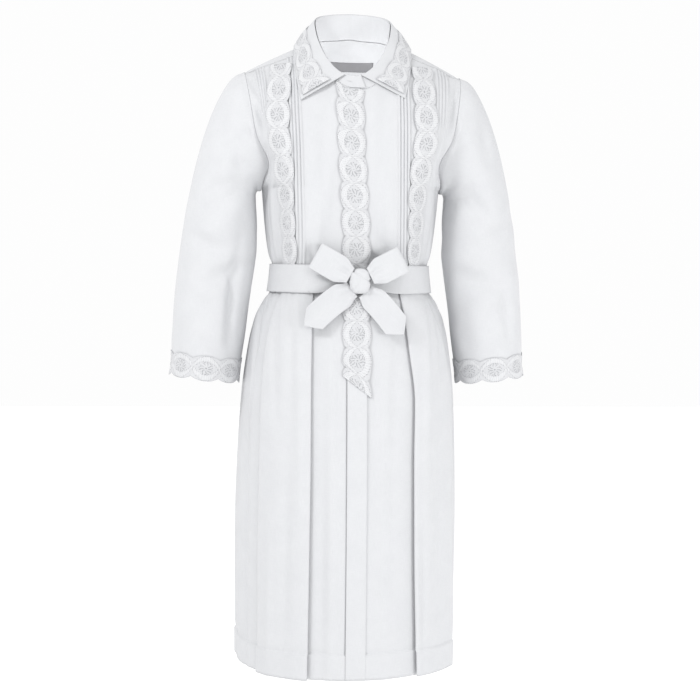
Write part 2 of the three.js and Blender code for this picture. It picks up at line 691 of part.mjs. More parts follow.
// The plain skirt's section at height z, from the middle to the side, measured along the cloth.
function skirtSection(z, side) {
  const key = `${z} ${side}`;
  if (sections.has(key)) return sections.get(key);
  const form = skirtForm(z), round = 8, corner = side < 0 ? 102 : 98, soft = 12, steps = 60;
  const depth = side < 0 ? form.front : form.back, full = form.half + 1.7 * round;
  const bend = (q) => ramp((q - corner) / soft) - ramp(-corner / soft);
  const points = evenly(0, 1, steps).map((t) => {
    const angle = t * 90 * rad, q = t * full;
    const flatX = q - round * ramp((q - form.half - 0.2 * round) / round);
    const flatY = depth * (1 - bend(q) / bend(full));
    return point(lerp(flatX, form.half * Math.sin(angle), form.round),
      side * lerp(flatY, depth * Math.cos(angle), form.round), z);
  });
  const lengths = [0];
  for (let i = 1; i <= steps; i += 1) lengths.push(lengths[i - 1] + points[i].distanceTo(points[i - 1]));
  const length = lengths[steps];
  const plain = (s) => {
    if (s < 0) return plain(-s).multiply(point(-1, 1, 1));
    if (s > length) return plain(2 * length - s).multiply(point(1, -1, 1));
    let i = 0;
    while (i < steps - 1 && lengths[i + 1] < s) i += 1;
    return points[i].clone().lerp(points[i + 1], (s - lengths[i]) / (lengths[i + 1] - lengths[i]));
  };
  const at = (s, height) => {
    const along = plain(s + 6).sub(plain(s - 6));
    return plain(s).addScaledVector(point(-side * along.y, side * along.x, 0).normalize(), height);
  };
  const section = { at, length };
  sections.set(key, section);
  return section;
}

// The path of a skirt front across the skirt at height z: along the cloth and out from the plain skirt.
function pleatPath(z, start, inner) {
  const form = skirtForm(z), stand = form.stand, fold = form.fold;
  const near = form[inner], far = near + form.width;
  const end = skirtSection(z, -1).length - seamGap / 2;
  const gather = 3 * smooth(-640, -500, z);
  const back = 0.42 * stand;
  return [
    [start, 0], [lerp(start, near, 0.35), 0], [lerp(start, near, 0.7), 0], [near, 0],
    [near + fold, 0], [near + fold + 1.2, 0.2 * stand], [near + fold, back],
    [near + 2, back], [near - 1, 0.7 * stand], [near + 1.5, stand],
    [lerp(near, far, 0.25), stand + 0.8], [lerp(near, far, 0.5), stand + 1.4],
    [lerp(near, far, 0.75), stand + 0.8],
    [far - 1.5, stand], [far + 1, 0.7 * stand], [far - 2, back],
    [far - fold, back], [far - fold - 1.2, 0.2 * stand], [far - fold, 0],
    [far + 2, 0], [lerp(far, end, 0.28), gather], [lerp(far, end, 0.5), 0],
    [lerp(far, end, 0.74), gather], [end, 0],
  ];
}

// Moves a path sideways by a length, square to its run and mitred at its turns.
function offsetPath(path, amount) {
  return path.map((here, i) => {
    const before = path[i - 1] || here, after = path[i + 1] || here;
    const unit = (a, b) => {
      const length = Math.hypot(b[0] - a[0], b[1] - a[1]) || 1;
      return [(b[0] - a[0]) / length, (b[1] - a[1]) / length];
    };
    const d1 = before === here ? unit(here, after) : unit(before, here);
    const d2 = after === here ? d1 : unit(here, after);
    const n = [-(d1[1] + d2[1]), d1[0] + d2[0]];
    const size = Math.hypot(...n) || 1;
    const mitre = Math.min(1.4, 2 / size);
    return [here[0] + amount * mitre * n[0] / size, here[1] + amount * mitre * n[1] / size];
  });
}

const skirtRows = [hemZ, hemTurnZ - 3, hemTurnZ, -1060, -900, -780, -690, -620, -567, -530, -508,
  waistZ - seamGap / 2];
const skirtThickness = (z) => (z < hemTurnZ - 1 ? hemWall : skirtWall);

function skirtFront(name, start, inner, mirror) {
  const layer = (z, amount) => {
    const section = skirtSection(z, -1);
    return offsetPath(pleatPath(z, start, inner), amount).map(([s, height], i, all) => {
      const end = i === all.length - 1 ? section.length - seamGap / 2 : s;
      const p = section.at(end, height);
      return mirror ? p.setX(-p.x) : p;
    });
  };
  const outerRows = skirtRows.map((z) => layer(z, 0));
  const innerRows = skirtRows.map((z) => layer(z, -skirtThickness(z)));
  add(name, closedWall(outerRows, innerRows, { flip: mirror }));
}
skirtFront('skirt_front_right', frontEdges.over, 'innerRight', true);
skirtFront('skirt_front_left', frontEdges.under, 'innerLeft', false);

const backWaves = { count: 3, waist: 2.5, hem: 11 };

function skirtBack() {
  const columns = evenly(1, -1, 24);
  const place = (z, part, inwards) => {
    const section = skirtSection(z, 1);
    const along = Math.abs(part) * (section.length - seamGap / 2);
    const swell = lerp(backWaves.waist, backWaves.hem, smooth(waistZ, hemZ + 300, z));
    const wave = swell * (1 - Math.cos(2 * Math.PI * backWaves.count * part)) / 2;
    const p = section.at(along, wave - inwards);
    return part < 0 ? p.setX(-p.x) : p;
  };
  add('skirt_back', closedWall(
    skirtRows.map((z) => columns.map((part) => place(z, part, 0))),
    skirtRows.map((z) => columns.map((part) => place(z, part, skirtThickness(z))))));
}
skirtBack();

function placketSkirt() {
  add('placket_skirt', panel({
    rows: skirtRows,
    columns: [-1, -0.5, 0, 0.5, 1],
    lift: () => bandLift,
    wall: () => bandWall,
    inward: levelEnd(skirtRows[skirtRows.length - 1]),
    base: (z, part) => skirtSection(z, -1).at(part * placketHalf, 0),
  }));
}
placketSkirt();

const lowerLace = { wide: 29, narrow: 20.5, medallions: 4, steps: 5, topZ: waistZ - 6, endZ: -700, slant: 22 };

// The lower lace ends in a slant, lower on the wearer's left.
function placketLaceLower() {
  const width = (t, part) => part * scalloped(lowerLace, t);
  add('placket_lace_lower', panel({
    rows: stripRows(lowerLace),
    columns: [-1, -0.72, 0, 0.72, 1],
    wall: () => laceWall,
    lift: (t, part) => overBand(width(t, part)),
    base: (t, part) => {
      const cut = lowerLace.slant * part * (1 - smooth(0, 0.3, t));
      const z = lerp(lowerLace.endZ, lowerLace.topZ, t) - cut;
      return skirtSection(Math.round(z * 10) / 10, -1).at(width(t, part), 0);
    },
  }), materials.lace);
}
placketLaceLower();

// ---- Belt and bow ---------------------------------------------------------------------------------

const belt = { topZ: -457, endZ: -514, knotTop: -476, knotEnd: -502, topOff: 9.9, endOff: 15.8, wall: 1.6 };

function beltBand() {
  const quarter = [0, 0.09, 0.18, 0.28, 0.38, 0.48, 0.58, 0.68, 0.78, 0.88, 1];
  const columns = [
    ...quarter.map((part) => ({ side: -1, part })),
    ...quarter.slice(0, -1).reverse().map((part) => ({ side: 1, part })),
    ...quarter.slice(1).map((part) => ({ side: 1, part: -part })),
    ...quarter.slice(1, -1).reverse().map((part) => ({ side: -1, part: -part })),
  ];
  add('belt_band', panel({
    rows: [0, 0.5, 1],
    columns,
    ring: true,
    wall: () => belt.wall,
    base: (share, { side, part }) => {
      const section = skirtSection(waistZ, side);
      const wide = side < 0 ? smooth(12, 80, Math.abs(part) * section.length) : 1;
      const z = lerp(lerp(belt.knotEnd, belt.endZ, wide), lerp(belt.knotTop, belt.topZ, wide), share);
      const off = lerp(belt.endOff, belt.topOff, (z - belt.endZ) / (belt.topZ - belt.endZ));
      return section.at(part * section.length, off).setZ(z);
    },
  }));
}
beltBand();

const knot = { x: 6, y: -132.1, z: -489, halfX: 20, halfY: 11, halfZ: 24 };

function bowKnot() {
  const geometry = new THREE.SphereGeometry(1, 20, 12);
  const place = geometry.attributes.position;
  const blunt = (value) => Math.sign(value) * Math.abs(value) ** 0.8;
  for (let i = 0; i < place.count; i += 1) {
    const x = blunt(place.getX(i)), y = blunt(place.getY(i)), z = blunt(place.getZ(i));
    const wrap = 1 - 0.07 * Math.cos(5 * x);
    place.setXYZ(i, knot.x + knot.halfX * x, knot.y + knot.halfY * z * wrap, knot.z - knot.halfZ * y * wrap);
  }
  add('bow_knot', geometry);
}
bowKnot();

// A bow loop: a band from the knot out to its fold and back behind, wider away from the knot.
const bowLoops = {
  right: { reach: 104, rise: 29, side: -1, root: 21.8 },
  left: { reach: 99, rise: 27.5, side: 1, root: 23.4 },
};
const band = { narrow: 15, wide: 28, open: 7, wall: clothWall };

function bowLoop(name, { reach, rise, side, root }) {
  const out = point(side * Math.cos(rise * rad), 0, Math.sin(rise * rad));
  const across = point(-side * Math.sin(rise * rad), 0, Math.cos(rise * rad));
  const stops = [[root, -1], [38, -1], [56, -1], [74, -1], [88, -0.95], [96, -0.7], [100, 0],
    [96, 0.7], [88, 0.95], [74, 1], [56, 1], [38, 1], [root, 1]];
  const columns = side > 0 ? stops : [...stops].reverse();
  add(name, panel({
    rows: [-1, -0.5, 0, 0.5, 1],
    columns,
    base: (part, [along, layer]) => {
      const open = lerp(3.2, band.open, smooth(root, 70, along));
      const half = lerp(band.narrow, band.wide, smooth(14, 52, along));
      const curl = 2.5 * part * part * smooth(40, 90, along);
      return point(knot.x, knot.y - 4, knot.z).addScaledVector(out, along * reach / 100)
        .addScaledVector(across, part * half).add(point(0, layer * open + curl, 0));
    },
  }));
}
bowLoop('bow_loop_right', bowLoops.right);
bowLoop('bow_loop_left', bowLoops.left);

// A tail hangs from under the knot and ends in a point.
const bowTails = {
  right: { startX: -8, startZ: -510, endX: -86, endZ: -563, tip: 26, side: -1 },
  left: { startX: 17, startZ: -513, endX: 77, endZ: -576, tip: 25, side: 1 },
};

function bowTail(name, { startX, startZ, endX, endZ, tip, side }) {
  const along = point(endX - startX, 0, endZ - startZ);
  const length = along.length();
  along.normalize();
  const across = point(-along.z, 0, along.x);
  add(name, panel({
    rows: [1, 0.86, 0.7, 0.52, 0.34, 0.16, 0],
    columns: [-1, -0.5, 0, 0.5, 1],
    base: (share, part) => {
      const half = lerp(18, 27, smooth(0, 0.32, share));
      const pointed = tip * smooth(0.6, 1, share) * (1 - Math.abs(part));
      const wave = 1.6 * Math.cos(Math.PI * (part + 0.2)) * smooth(0, 0.4, share);
      return point(startX, -130.5 - 24 * share ** 1.1 + wave, startZ)
        .addScaledVector(along, length * share + pointed).addScaledVector(across, part * half);
    },
  }));
}
bowTail('bow_tail_right', bowTails.right);
bowTail('bow_tail_left', bowTails.left);

export default kittel;
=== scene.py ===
import math
import bpy
import numpy as np
from mathutils import Matrix, Vector


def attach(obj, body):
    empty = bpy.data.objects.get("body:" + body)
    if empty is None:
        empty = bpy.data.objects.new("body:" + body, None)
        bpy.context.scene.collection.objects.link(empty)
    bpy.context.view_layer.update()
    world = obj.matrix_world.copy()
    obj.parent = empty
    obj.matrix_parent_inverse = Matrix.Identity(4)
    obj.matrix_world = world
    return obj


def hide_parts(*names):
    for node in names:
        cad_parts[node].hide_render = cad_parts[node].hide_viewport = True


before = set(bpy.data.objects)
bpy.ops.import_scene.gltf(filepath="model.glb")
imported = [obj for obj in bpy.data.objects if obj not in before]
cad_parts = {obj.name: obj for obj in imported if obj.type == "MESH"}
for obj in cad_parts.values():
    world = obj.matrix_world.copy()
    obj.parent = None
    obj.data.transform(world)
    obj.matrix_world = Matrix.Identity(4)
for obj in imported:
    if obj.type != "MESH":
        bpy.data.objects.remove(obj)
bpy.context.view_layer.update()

# Shapes are worked out in millimetres, as the solids are, and made in metres. Seams lie closer here.
waistZ = -485
hemZ = -1279
hemTurnZ = -1226
seamGap = 0.08
underarmZ = -300
shoulderHalf = 225
neckHalf = 79
armholeTop = -62.7
capDepth = 200


# small helpers
def lerp(a, b, t):
    return a + (b - a) * t


def smooth(start, end, t):
    k = np.clip((np.asarray(t, float) - start) / (end - start), 0, 1)
    return k * k * (3 - 2 * k)


def softRamp(t):
    return np.logaddexp(0, t)


def bump(t, width):
    return np.exp(-(np.asarray(t, float) / width) ** 2)


class Table:
    # rows of numbers under named columns, looked up smoothly by the first one
    def __init__(self, names, *rows):
        self.names = names
        data = np.array(rows, float)
        if data[0, 0] > data[-1, 0]:
            data = data[::-1]
        self.x = data[:, 0]
        step = np.diff(self.x)[:, None]
        rise = np.diff(data, axis=0) / step
        slope = np.zeros_like(data)
        slope[0], slope[-1] = rise[0], rise[-1]
        a, b = rise[:-1], rise[1:]
        same = a * b > 0
        slope[1:-1] = np.where(same, 2 * a * b / np.where(same, a + b, 1), 0)
        self.data, self.slope = data, slope

    def __call__(self, at):
        at = np.asarray(at, float)
        i = np.clip(np.searchsorted(self.x, at) - 1, 0, len(self.x) - 2)
        step = self.x[i + 1] - self.x[i]
        t = np.clip((at - self.x[i]) / step, 0, 1)[..., None]
        step = step[..., None]
        out = (self.data[i] * (2 * t ** 3 - 3 * t ** 2 + 1)
               + self.slope[i] * step * (t ** 3 - 2 * t ** 2 + t)
               + self.data[i + 1] * (3 * t ** 2 - 2 * t ** 3)
               + self.slope[i + 1] * step * (t ** 3 - t ** 2))
        return {name: out[..., k] for k, name in enumerate(self.names)}


def stack(x, y, z):
    return np.stack(np.broadcast_arrays(x, y, z), axis=-1)


def normalsOf(grid, ring=False):
    if ring:
        across = np.roll(grid, -1, 1) - np.roll(grid, 1, 1)
    else:
        across = np.gradient(grid, axis=1)
    up = np.gradient(grid, axis=0)
    n = np.cross(across, up)
    return n / np.maximum(np.linalg.norm(n, axis=2, keepdims=True), 1e-9)


def lengthsAlong(grid, axis):
    step = np.linalg.norm(np.diff(grid, axis=axis), axis=2)
    pad = [(0, 0), (0, 0)]
    pad[axis] = (1, 0)
    return np.cumsum(np.pad(step, pad), axis=axis)


def addUv(mesh, name, uv, period=0):
    # coordinates by vertex; on a ring the last faces run on past the period
    layer = mesh.uv_layers.new(name=name)
    index = np.empty(len(mesh.loops), int)
    mesh.loops.foreach_get("vertex_index", index)
    values = np.asarray(uv, float)[index]
    if period:
        corners = values[:, 0].reshape(-1, 4)
        low = corners < corners.max(1, keepdims=True) - abs(period) / 2
        values[:, 0] = (corners + low * abs(period)).ravel()
    layer.data.foreach_set("uv", values.astype("f").ravel())


def makeMesh(name, points, faces, material, uv=None, period=0):
    mesh = bpy.data.meshes.new(name)
    mesh.from_pydata((np.asarray(points) / 1000).tolist(), [], faces)
    if uv is not None:
        addUv(mesh, "cloth", np.asarray(uv) / 1000, period / 1000)
    mesh.polygons.foreach_set("use_smooth", np.ones(len(mesh.polygons), bool))
    mesh.materials.append(material)
    mesh.update()
    piece = bpy.data.objects.new(name, mesh)
    bpy.context.scene.collection.objects.link(piece)
    return piece


def shell(name, grid, wall, material, ring=False, mirror=False, uv=None, inner=None, normals=None,
          period=0, pattern=None, patternPeriod=0):
    # closes a fine grid of outer points and one a wall's thickness inside it
    if normals is None:
        normals = normalsOf(grid, ring)
    if inner is None:
        inner = grid - normals * (wall if np.isscalar(wall) else wall[..., None])
    rows, columns = grid.shape[:2]
    if uv is None:
        u, v = lengthsAlong(grid, 1), lengthsAlong(grid, 0)
        u = u - u[:, columns // 2][:, None]
        uv = np.stack([u, v], -1)
    points = np.concatenate([grid.reshape(-1, 3), inner.reshape(-1, 3)])
    uvs = np.concatenate([uv.reshape(-1, 2)] * 2)
    if mirror:
        points = points * [-1, 1, 1]
    number = np.arange(rows * columns).reshape(rows, columns)
    if ring:
        number = np.concatenate([number, number[:, :1]], 1)
    back = number + rows * columns

    def quads(a, flip):
        q = np.stack([a[:-1, :-1], a[:-1, 1:], a[1:, 1:], a[1:, :-1]], -1).reshape(-1, 4)
        return q[:, ::-1] if flip else q

    def rim(front, behind, flip):
        q = np.stack([front[:-1], front[1:], behind[1:], behind[:-1]], -1)
        return q[:, ::-1] if flip else q

    parts = [quads(number, False), quads(back, True),
             rim(number[0], back[0], True), rim(number[-1], back[-1], False)]
    if not ring:
        parts += [rim(number[:, 0], back[:, 0], False), rim(number[:, -1], back[:, -1], True)]
    faces = np.concatenate(parts)
    if mirror:
        faces = faces[:, ::-1]
    piece = makeMesh(name, points, faces.tolist(), material, uvs, period)
    if pattern is not None:
        addUv(piece.data, "lace", np.concatenate([pattern.reshape(-1, 2)] * 2), patternPeriod)
    flat = np.ones(len(faces), bool)
    flat[2 * len(parts[0]):] = False
    piece.data.polygons.foreach_set("use_smooth", flat)
    return piece


def stitchLine(path, normals, length=2.4, gap=0.9, radius=0.22, sink=0.06, start=0.4):
    # points and faces of a row of short raised threads along a path
    path = np.asarray(path, float)
    step = np.linalg.norm(np.diff(path, axis=0), axis=1)
    reach = np.concatenate([[0], np.cumsum(step)])
    heads = np.arange(start, reach[-1] - length - start, length + gap)
    if not len(heads):
        return np.zeros((0, 3)), np.zeros((0, 4), int)

    def at(values, where):
        return np.stack([np.interp(where, reach, values[:, k]) for k in range(3)], -1)

    shares = np.array([0, 0.5, 1])
    where = heads[:, None] + length * shares
    centre = at(path, where.ravel()).reshape(len(heads), 3, 3)
    up = at(np.asarray(normals, float), where.ravel()).reshape(len(heads), 3, 3)
    up /= np.linalg.norm(up, axis=2, keepdims=True)
    along = centre[:, 2:] - centre[:, :1]
    along = along / np.linalg.norm(along, axis=2, keepdims=True)
    side = np.cross(along, up)
    arch = np.array([-0.6, 0.35, -0.6]) * radius - sink
    centre = centre + up * arch[None, :, None]
    wide = np.array([0.5, 1.0, 0.5]) * radius
    ringPoints = []
    for turn in (0, 1, 2, 3):
        angle = turn * math.pi / 2
        ringPoints.append(centre + side * (math.cos(angle) * wide)[None, :, None]
                          + up * (math.sin(angle) * wide)[None, :, None])
    points = np.stack(ringPoints, 2)  # stitch, share, turn
    number = np.arange(points.shape[0] * 12).reshape(-1, 3, 4)
    faces = []
    for k in range(2):
        for turn in range(4):
            nxt = (turn + 1) % 4
            faces.append(np.stack([number[:, k, turn], number[:, k, nxt],
                                   number[:, k + 1, nxt], number[:, k + 1, turn]], -1))
    faces.append(number[:, 0, ::-1])
    faces.append(number[:, 2, :])
    return points.reshape(-1, 3), np.concatenate(faces)


def stitches(name, lines, material, **kinds):
    allPoints, allFaces, count = [], [], 0
    for path, normals in lines:
        points, faces = stitchLine(path, normals, **kinds)
        allPoints.append(points)
        allFaces.append(faces + count)
        count += len(points)
    piece = makeMesh(name, np.concatenate(allPoints), np.concatenate(allFaces).tolist(), material)
    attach(piece, "root")
    return piece


# the cut of what shows: width and length in metres, flat area, how it is held, and what it hangs on
cuts = {
    "front_right": (0.35, 0.493, 0.108, "hung", "yoke"), "front_left": (0.375, 0.493, 0.122, "hung", "yoke"),
    "back": (0.49, 0.42, 0.175, "hung", "yoke"), "yoke": (0.675, 0.205, 0.071, "hung", "collar_stand"),
    "sleeve_right": (0.5, 0.61, 0.237, "hung", "yoke"), "sleeve_left": (0.5, 0.61, 0.237, "hung", "yoke"),
    "placket_bodice": (0.041, 0.391, 0.016, "laid", "front_right"),
    "placket_skirt": (0.042, 0.803, 0.0335, "laid", "skirt_front_right"),
    "placket_lace_upper": (0.058, 0.428, 0.0215, "laid", "placket_bodice"),
    "placket_lace_lower": (0.058, 0.259, 0.0124, "laid", "placket_skirt"),
    "side_lace_right": (0.053, 0.49, 0.022, "laid", "front_right"),
    "side_lace_left": (0.053, 0.49, 0.022, "laid", "front_left"),
    "cuff_lace_right": (0.43, 0.051, 0.021, "hung", "sleeve_right"),
    "cuff_lace_left": (0.43, 0.051, 0.021, "hung", "sleeve_left"),
    "collar_stand": (0.655, 0.063, 0.0197, "folded", "yoke"),
    "collar_leaf": (0.68, 0.105, 0.0448, "folded", "collar_stand"),
    "collar_lace_right": (0.213, 0.058, 0.0079, "laid", "collar_leaf"),
    "collar_lace_left": (0.213, 0.058, 0.0079, "laid", "collar_leaf"),
    "neck_label": (0.109, 0.023, 0.0024, "laid", "back"),
    "skirt_front_right": (0.435, 0.795, 0.323, "hung", "front_right"),
    "skirt_front_left": (0.47, 0.795, 0.353, "hung", "front_left"),
    "skirt_back": (0.67, 0.808, 0.497, "gathered", "back"),
    "belt_band": (0.921, 0.057, 0.0515, "stretched", "skirt_back"),
    "bow_loop_right": (0.175, 0.057, 0.0092, "folded", "bow_knot"),
    "bow_loop_left": (0.165, 0.057, 0.0088, "folded", "bow_knot"),
    "bow_tail_right": (0.058, 0.123, 0.0058, "hung", "bow_knot"),
    "bow_tail_left": (0.058, 0.114, 0.0054, "hung", "bow_knot"),
}


def finished(piece, node, slotName="cloth"):
    piece.name = node + "_" + slotName
    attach(piece, "root")
    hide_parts(node)
    if node in cuts:
        width, length, area, held, hangsOn = cuts[node]
    return piece


# materials
class Socket:
    # a shader socket that does its own arithmetic
    def __init__(self, kit, link):
        self.kit, self.link = kit, link

    def math(self, operation, *others):
        values = dict(enumerate([self, *others]))
        return self.kit.node("ShaderNodeMath", {"operation": operation}, values)

    def __add__(self, other):
        return self.math("ADD", other)

    def __radd__(self, other):
        return self.math("ADD", other)

    def __sub__(self, other):
        return self.math("SUBTRACT", other)

    def __rsub__(self, other):
        return self.kit.node("ShaderNodeMath", {"operation": "SUBTRACT"}, {0: other, 1: self})

    def __mul__(self, other):
        return self.math("MULTIPLY", other)

    def __rmul__(self, other):
        return self.math("MULTIPLY", other)

    def __truediv__(self, other):
        return self.math("DIVIDE", other)

    def __pow__(self, other):
        return self.math("POWER", other)

    def sine(self):
        return self.math("SINE")

    def cosine(self):
        return self.math("COSINE")

    def size(self):
        return self.math("ABSOLUTE")

    def fraction(self):
        return self.math("FRACT")

    def least(self, other):
        return self.math("MINIMUM", other)

    def most(self, other):
        return self.math("MAXIMUM", other)

    def between(self, low, high):
        values = {"Value": self, "From Min": low, "From Max": high}
        return self.kit.node("ShaderNodeMapRange", {"interpolation_type": "SMOOTHSTEP"}, values)


class Kit:
    def __init__(self, name):
        self.material = bpy.data.materials.new(name)
        self.material.use_nodes = True
        self.tree = self.material.node_tree
        self.shader = self.tree.nodes["Principled BSDF"]

    def put(self, socket, value):
        if isinstance(value, Socket):
            self.tree.links.new(value.link, socket)
        else:
            socket.default_value = value

    def node(self, kind, settings=None, values=None, out=0):
        made = self.tree.nodes.new(kind)
        for key, value in (settings or {}).items():
            setattr(made, key, value)
        for key, value in (values or {}).items():
            self.put(made.inputs[key], value)
        return Socket(self, made.outputs[out])

    def parts(self, vector):
        split = self.tree.nodes.new("ShaderNodeSeparateXYZ")
        self.put(split.inputs[0], vector)
        return [Socket(self, split.outputs[k]) for k in range(3)]

    def blend(self, factor, first, second):
        made = self.tree.nodes.new("ShaderNodeMix")
        made.data_type = "RGBA"
        self.put(made.inputs["Factor"], factor)
        for socket, value in zip((made.inputs[6], made.inputs[7]), (first, second)):
            self.put(socket, value if isinstance(value, Socket) else (*value, 1))
        return Socket(self, made.outputs[2])

    def finish(self, **values):
        names = {"colour": "Base Color", "roughness": "Roughness", "normal": "Normal",
                 "sheen": "Sheen Weight", "sheenRoughness": "Sheen Roughness",
                 "specular": "Specular IOR Level",
                 "glow": "Emission Color", "glowStrength": "Emission Strength"}
        for key, value in values.items():
            if key in ("colour", "glow") and not isinstance(value, Socket):
                value = (*value, 1)
            self.put(self.shader.inputs[names[key]], value)
        return self.material


def wovenMaterial(name, colour, shade, pitch=0.55, depth=0.05, slubs=0.5, roughness=0.9):
    # a plain weave on the cloth's own flat coordinates, with uneven threads
    kit = Kit(name)
    uv = kit.node("ShaderNodeUVMap", {"uv_map": "cloth"})
    u, v, _ = kit.parts(uv)
    u, v = u * 1000, v * 1000
    turn = 2 * math.pi / pitch
    threads = (u * turn).sine() * (v * turn).sine()
    stretched = kit.node("ShaderNodeMapping", {}, {"Vector": uv, "Scale": (1600, 60, 1)})
    warp = kit.node("ShaderNodeTexNoise", {}, {"Vector": stretched, "Scale": 1.0, "Detail": 2.0})
    stretched = kit.node("ShaderNodeMapping", {}, {"Vector": uv, "Scale": (60, 1600, 1)})
    weft = kit.node("ShaderNodeTexNoise", {}, {"Vector": stretched, "Scale": 1.0, "Detail": 2.0})
    cloudy = kit.node("ShaderNodeTexNoise", {}, {"Vector": uv, "Scale": 22.0, "Detail": 3.0})
    uneven = (warp + weft) * 0.5
    height = threads * 0.5 + uneven * (2 * slubs)
    tone = (uneven - 0.5) * 1.6 + threads * 0.18 + (cloudy - 0.5) * 0.5 + 0.5
    tone = tone.between(0, 1)
    normal = kit.node("ShaderNodeBump", {}, {"Strength": 0.35, "Distance": depth / 1000, "Height": height})
    return kit.finish(colour=kit.blend(tone, shade, colour), roughness=roughness + (tone - 0.5) * 0.1,
                      normal=normal, sheen=0.12, sheenRoughness=0.6, specular=0.25)


def laceMaterial(name, colour, shade, hole):
    # a chain of round medallions between two plaited bands, on the strip's own coordinates:
    # x counts medallions along the strip, y runs from -1 to 1 across it
    kit = Kit(name)
    uv = kit.node("ShaderNodeUVMap", {"uv_map": "lace"})
    flat = kit.node("ShaderNodeUVMap", {"uv_map": "cloth"})
    bent = kit.node("ShaderNodeTexNoise", {}, {"Vector": flat, "Scale": 110.0, "Detail": 1.0})
    patchy = kit.node("ShaderNodeTexNoise", {}, {"Vector": flat, "Scale": 75.0, "Detail": 1.0})
    fuzz = kit.node("ShaderNodeTexNoise", {}, {"Vector": flat, "Scale": 900.0, "Detail": 2.0})
    along, across, _ = kit.parts(uv)
    along, across = along + (bent - 0.5) * 0.12, across + (patchy - 0.5) * 0.16
    u, v, _ = kit.parts(flat)
    u, v = u * 1000, v * 1000
    turn = 2 * math.pi
    swing = (along * math.pi).cosine()
    wave = swing * ((swing.size() + 0.03) ** -0.4) * 0.76
    over, under = (across - wave).size(), (across + wave).size()
    bandOver = 1 - over.between(0.17, 0.21)
    bandUnder = (1 - under.between(0.17, 0.21)) * over.between(0.21, 0.25)
    raised = bandOver.most(bandUnder)
    gap = (1 - (over - 0.225).size().between(0.015, 0.04)).most(
        (1 - (under - 0.225).size().between(0.015, 0.04)) * over.between(0.2, 0.24))
    dots = (along * (turn * 13)).sine().between(0.15, 0.6)
    nearest = over.least(under)
    seam = (1 - (nearest - 0.1).size().between(0.012, 0.035)).most(1 - nearest.between(0.01, 0.03))
    x = ((along + 0.5).fraction() - 0.5) * 1.95
    radius = (x * x + across * across) ** 0.5
    angle = kit.node("ShaderNodeMath", {"operation": "ARCTAN2"}, {0: across, 1: x})
    swirl = (angle * 9 + radius * 11).sine().between(0.25, 0.7)
    petals = swirl * (1 - (radius - 0.3).size().between(0.1, 0.16))
    ring = (1 - (radius - 0.47).size().between(0.02, 0.05)) * (angle * 15).sine().between(0.1, 0.5)
    heart = 1 - radius.between(0.04, 0.08)
    net = ((u * (turn / 2.6)).sine() * (v * (turn / 2.6)).sine()).between(0.35, 0.8)
    openPart = 1 - raised
    # the lace's openings are painted dark: painted shadow standing for the shaded cloth seen through them
    shadedHoles = (gap * dots).most(petals * 0.85).most(ring).most(heart).most(net * 0.5) * openPart
    shadedHoles = shadedHoles.most(seam * dots * 0.55) * (patchy.between(0.3, 0.5) * 0.6 + 0.4)
    tone = 1 - shadedHoles * 0.8
    height = raised * 0.5 + tone * 0.9 + fuzz * 0.25
    # the lower, unraised lace is painted a darker shade than the raised bands: painted shade in its recesses
    first = kit.blend(raised, shade, colour)
    normal = kit.node("ShaderNodeBump", {}, {"Strength": 0.75, "Distance": 0.0007, "Height": height})
    return kit.finish(colour=kit.blend(tone, hole, first), roughness=0.82 + fuzz * 0.1, normal=normal,
                      sheen=0.1, sheenRoughness=0.6, specular=0.25)


# the lace's second colour is painted shade for its recesses, and its hole colour is painted shadow for its
# openings
finish = {
    "cloth": (0.60, 0.606, 0.62), "clothShade": (0.535, 0.542, 0.558),
    "lace": (0.61, 0.615, 0.628), "laceRecessShade": (0.575, 0.58, 0.595), "laceHoleShadow": (0.27, 0.275, 0.29),
    "thread": (0.61, 0.615, 0.63), "label": (0.24, 0.24, 0.25), "labelShade": (0.2, 0.2, 0.21),
}
cloth = wovenMaterial("linenWeave", finish["cloth"], finish["clothShade"])
thread = wovenMaterial("sewingThread", finish["thread"], finish["clothShade"], pitch=0.3, depth=0.02)
lace = laceMaterial("cottonLace", finish["lace"], finish["laceRecessShade"], finish["laceHoleShadow"])
labelCloth = wovenMaterial("greyLabel", finish["label"], finish["labelShade"], pitch=0.8, roughness=0.8)
print("materials made")


# the sleeve's rings and the armhole, as in the solids
sleeveRing = Table(["at", "outX", "outZ", "inX", "inZ", "front", "back", "scoop"],
                   [0, shoulderHalf, armholeTop, 186, underarmZ, 78, 72, 18],
                   [1, 250, -81, 190, -303, 82, 76, 10],
                   [2, 280, -127, 195, -306, 84, 78, 4],
                   [3, 304, -190, 198, -310, 83, 79, 0],
                   [4, 321, -252, 199, -317, 80, 78, 0],
                   [5, 334, -312, 198, -330, 77, 77, 0],
                   [6, 346, -374, 194, -384, 74, 76, 0],
                   [7, 352, -417, 195, -427, 72, 75, 0],
                   [8, 357, -458, 200, -470, 71, 74, 0],
                   [9, 361, -500, 206, -513, 71, 73, 0],
                   [10, 364, -541, 212, -555, 70, 72, 0],
                   [11, 366, -582, 217, -597, 69, 70, 0],
                   [12, 368, -623, 223, -638, 68, 68, 0],
                   [13, 367.5, -655, 228, -671, 67, 67, 0],
                   [14, 371.5, -688, 231, -704, 67, 67, 0])
# where each soft fold is deepest (ring, degrees), its depth, reach along and round, and its slant
sleeveFolds = [(1.7, 285, 9, 1.1, 16, 14), (3.2, 300, 5, 1.6, 18, 12), (6.6, 250, 6, 0.9, 42, 34),
               (7.9, 285, 6, 0.8, 44, -30), (9.2, 240, 5, 1.0, 36, 26), (11.0, 222, 5, 2.4, 15, 0),
               (7.4, 85, 5, 0.9, 40, -28), (9.6, 110, 4, 1.1, 34, 24)]


def foldDepth(at, angle, folds=sleeveFolds):
    total = 0
    for place, deep, depth, along, around, slant in folds:
        turn = (np.degrees(angle) - deep + 540) % 360 - 180
        off = (at - place - turn / 90 * slant / 30) / along
        total = total + depth * np.exp(-off ** 2 - (turn / around) ** 2 / 1.6)
    return total


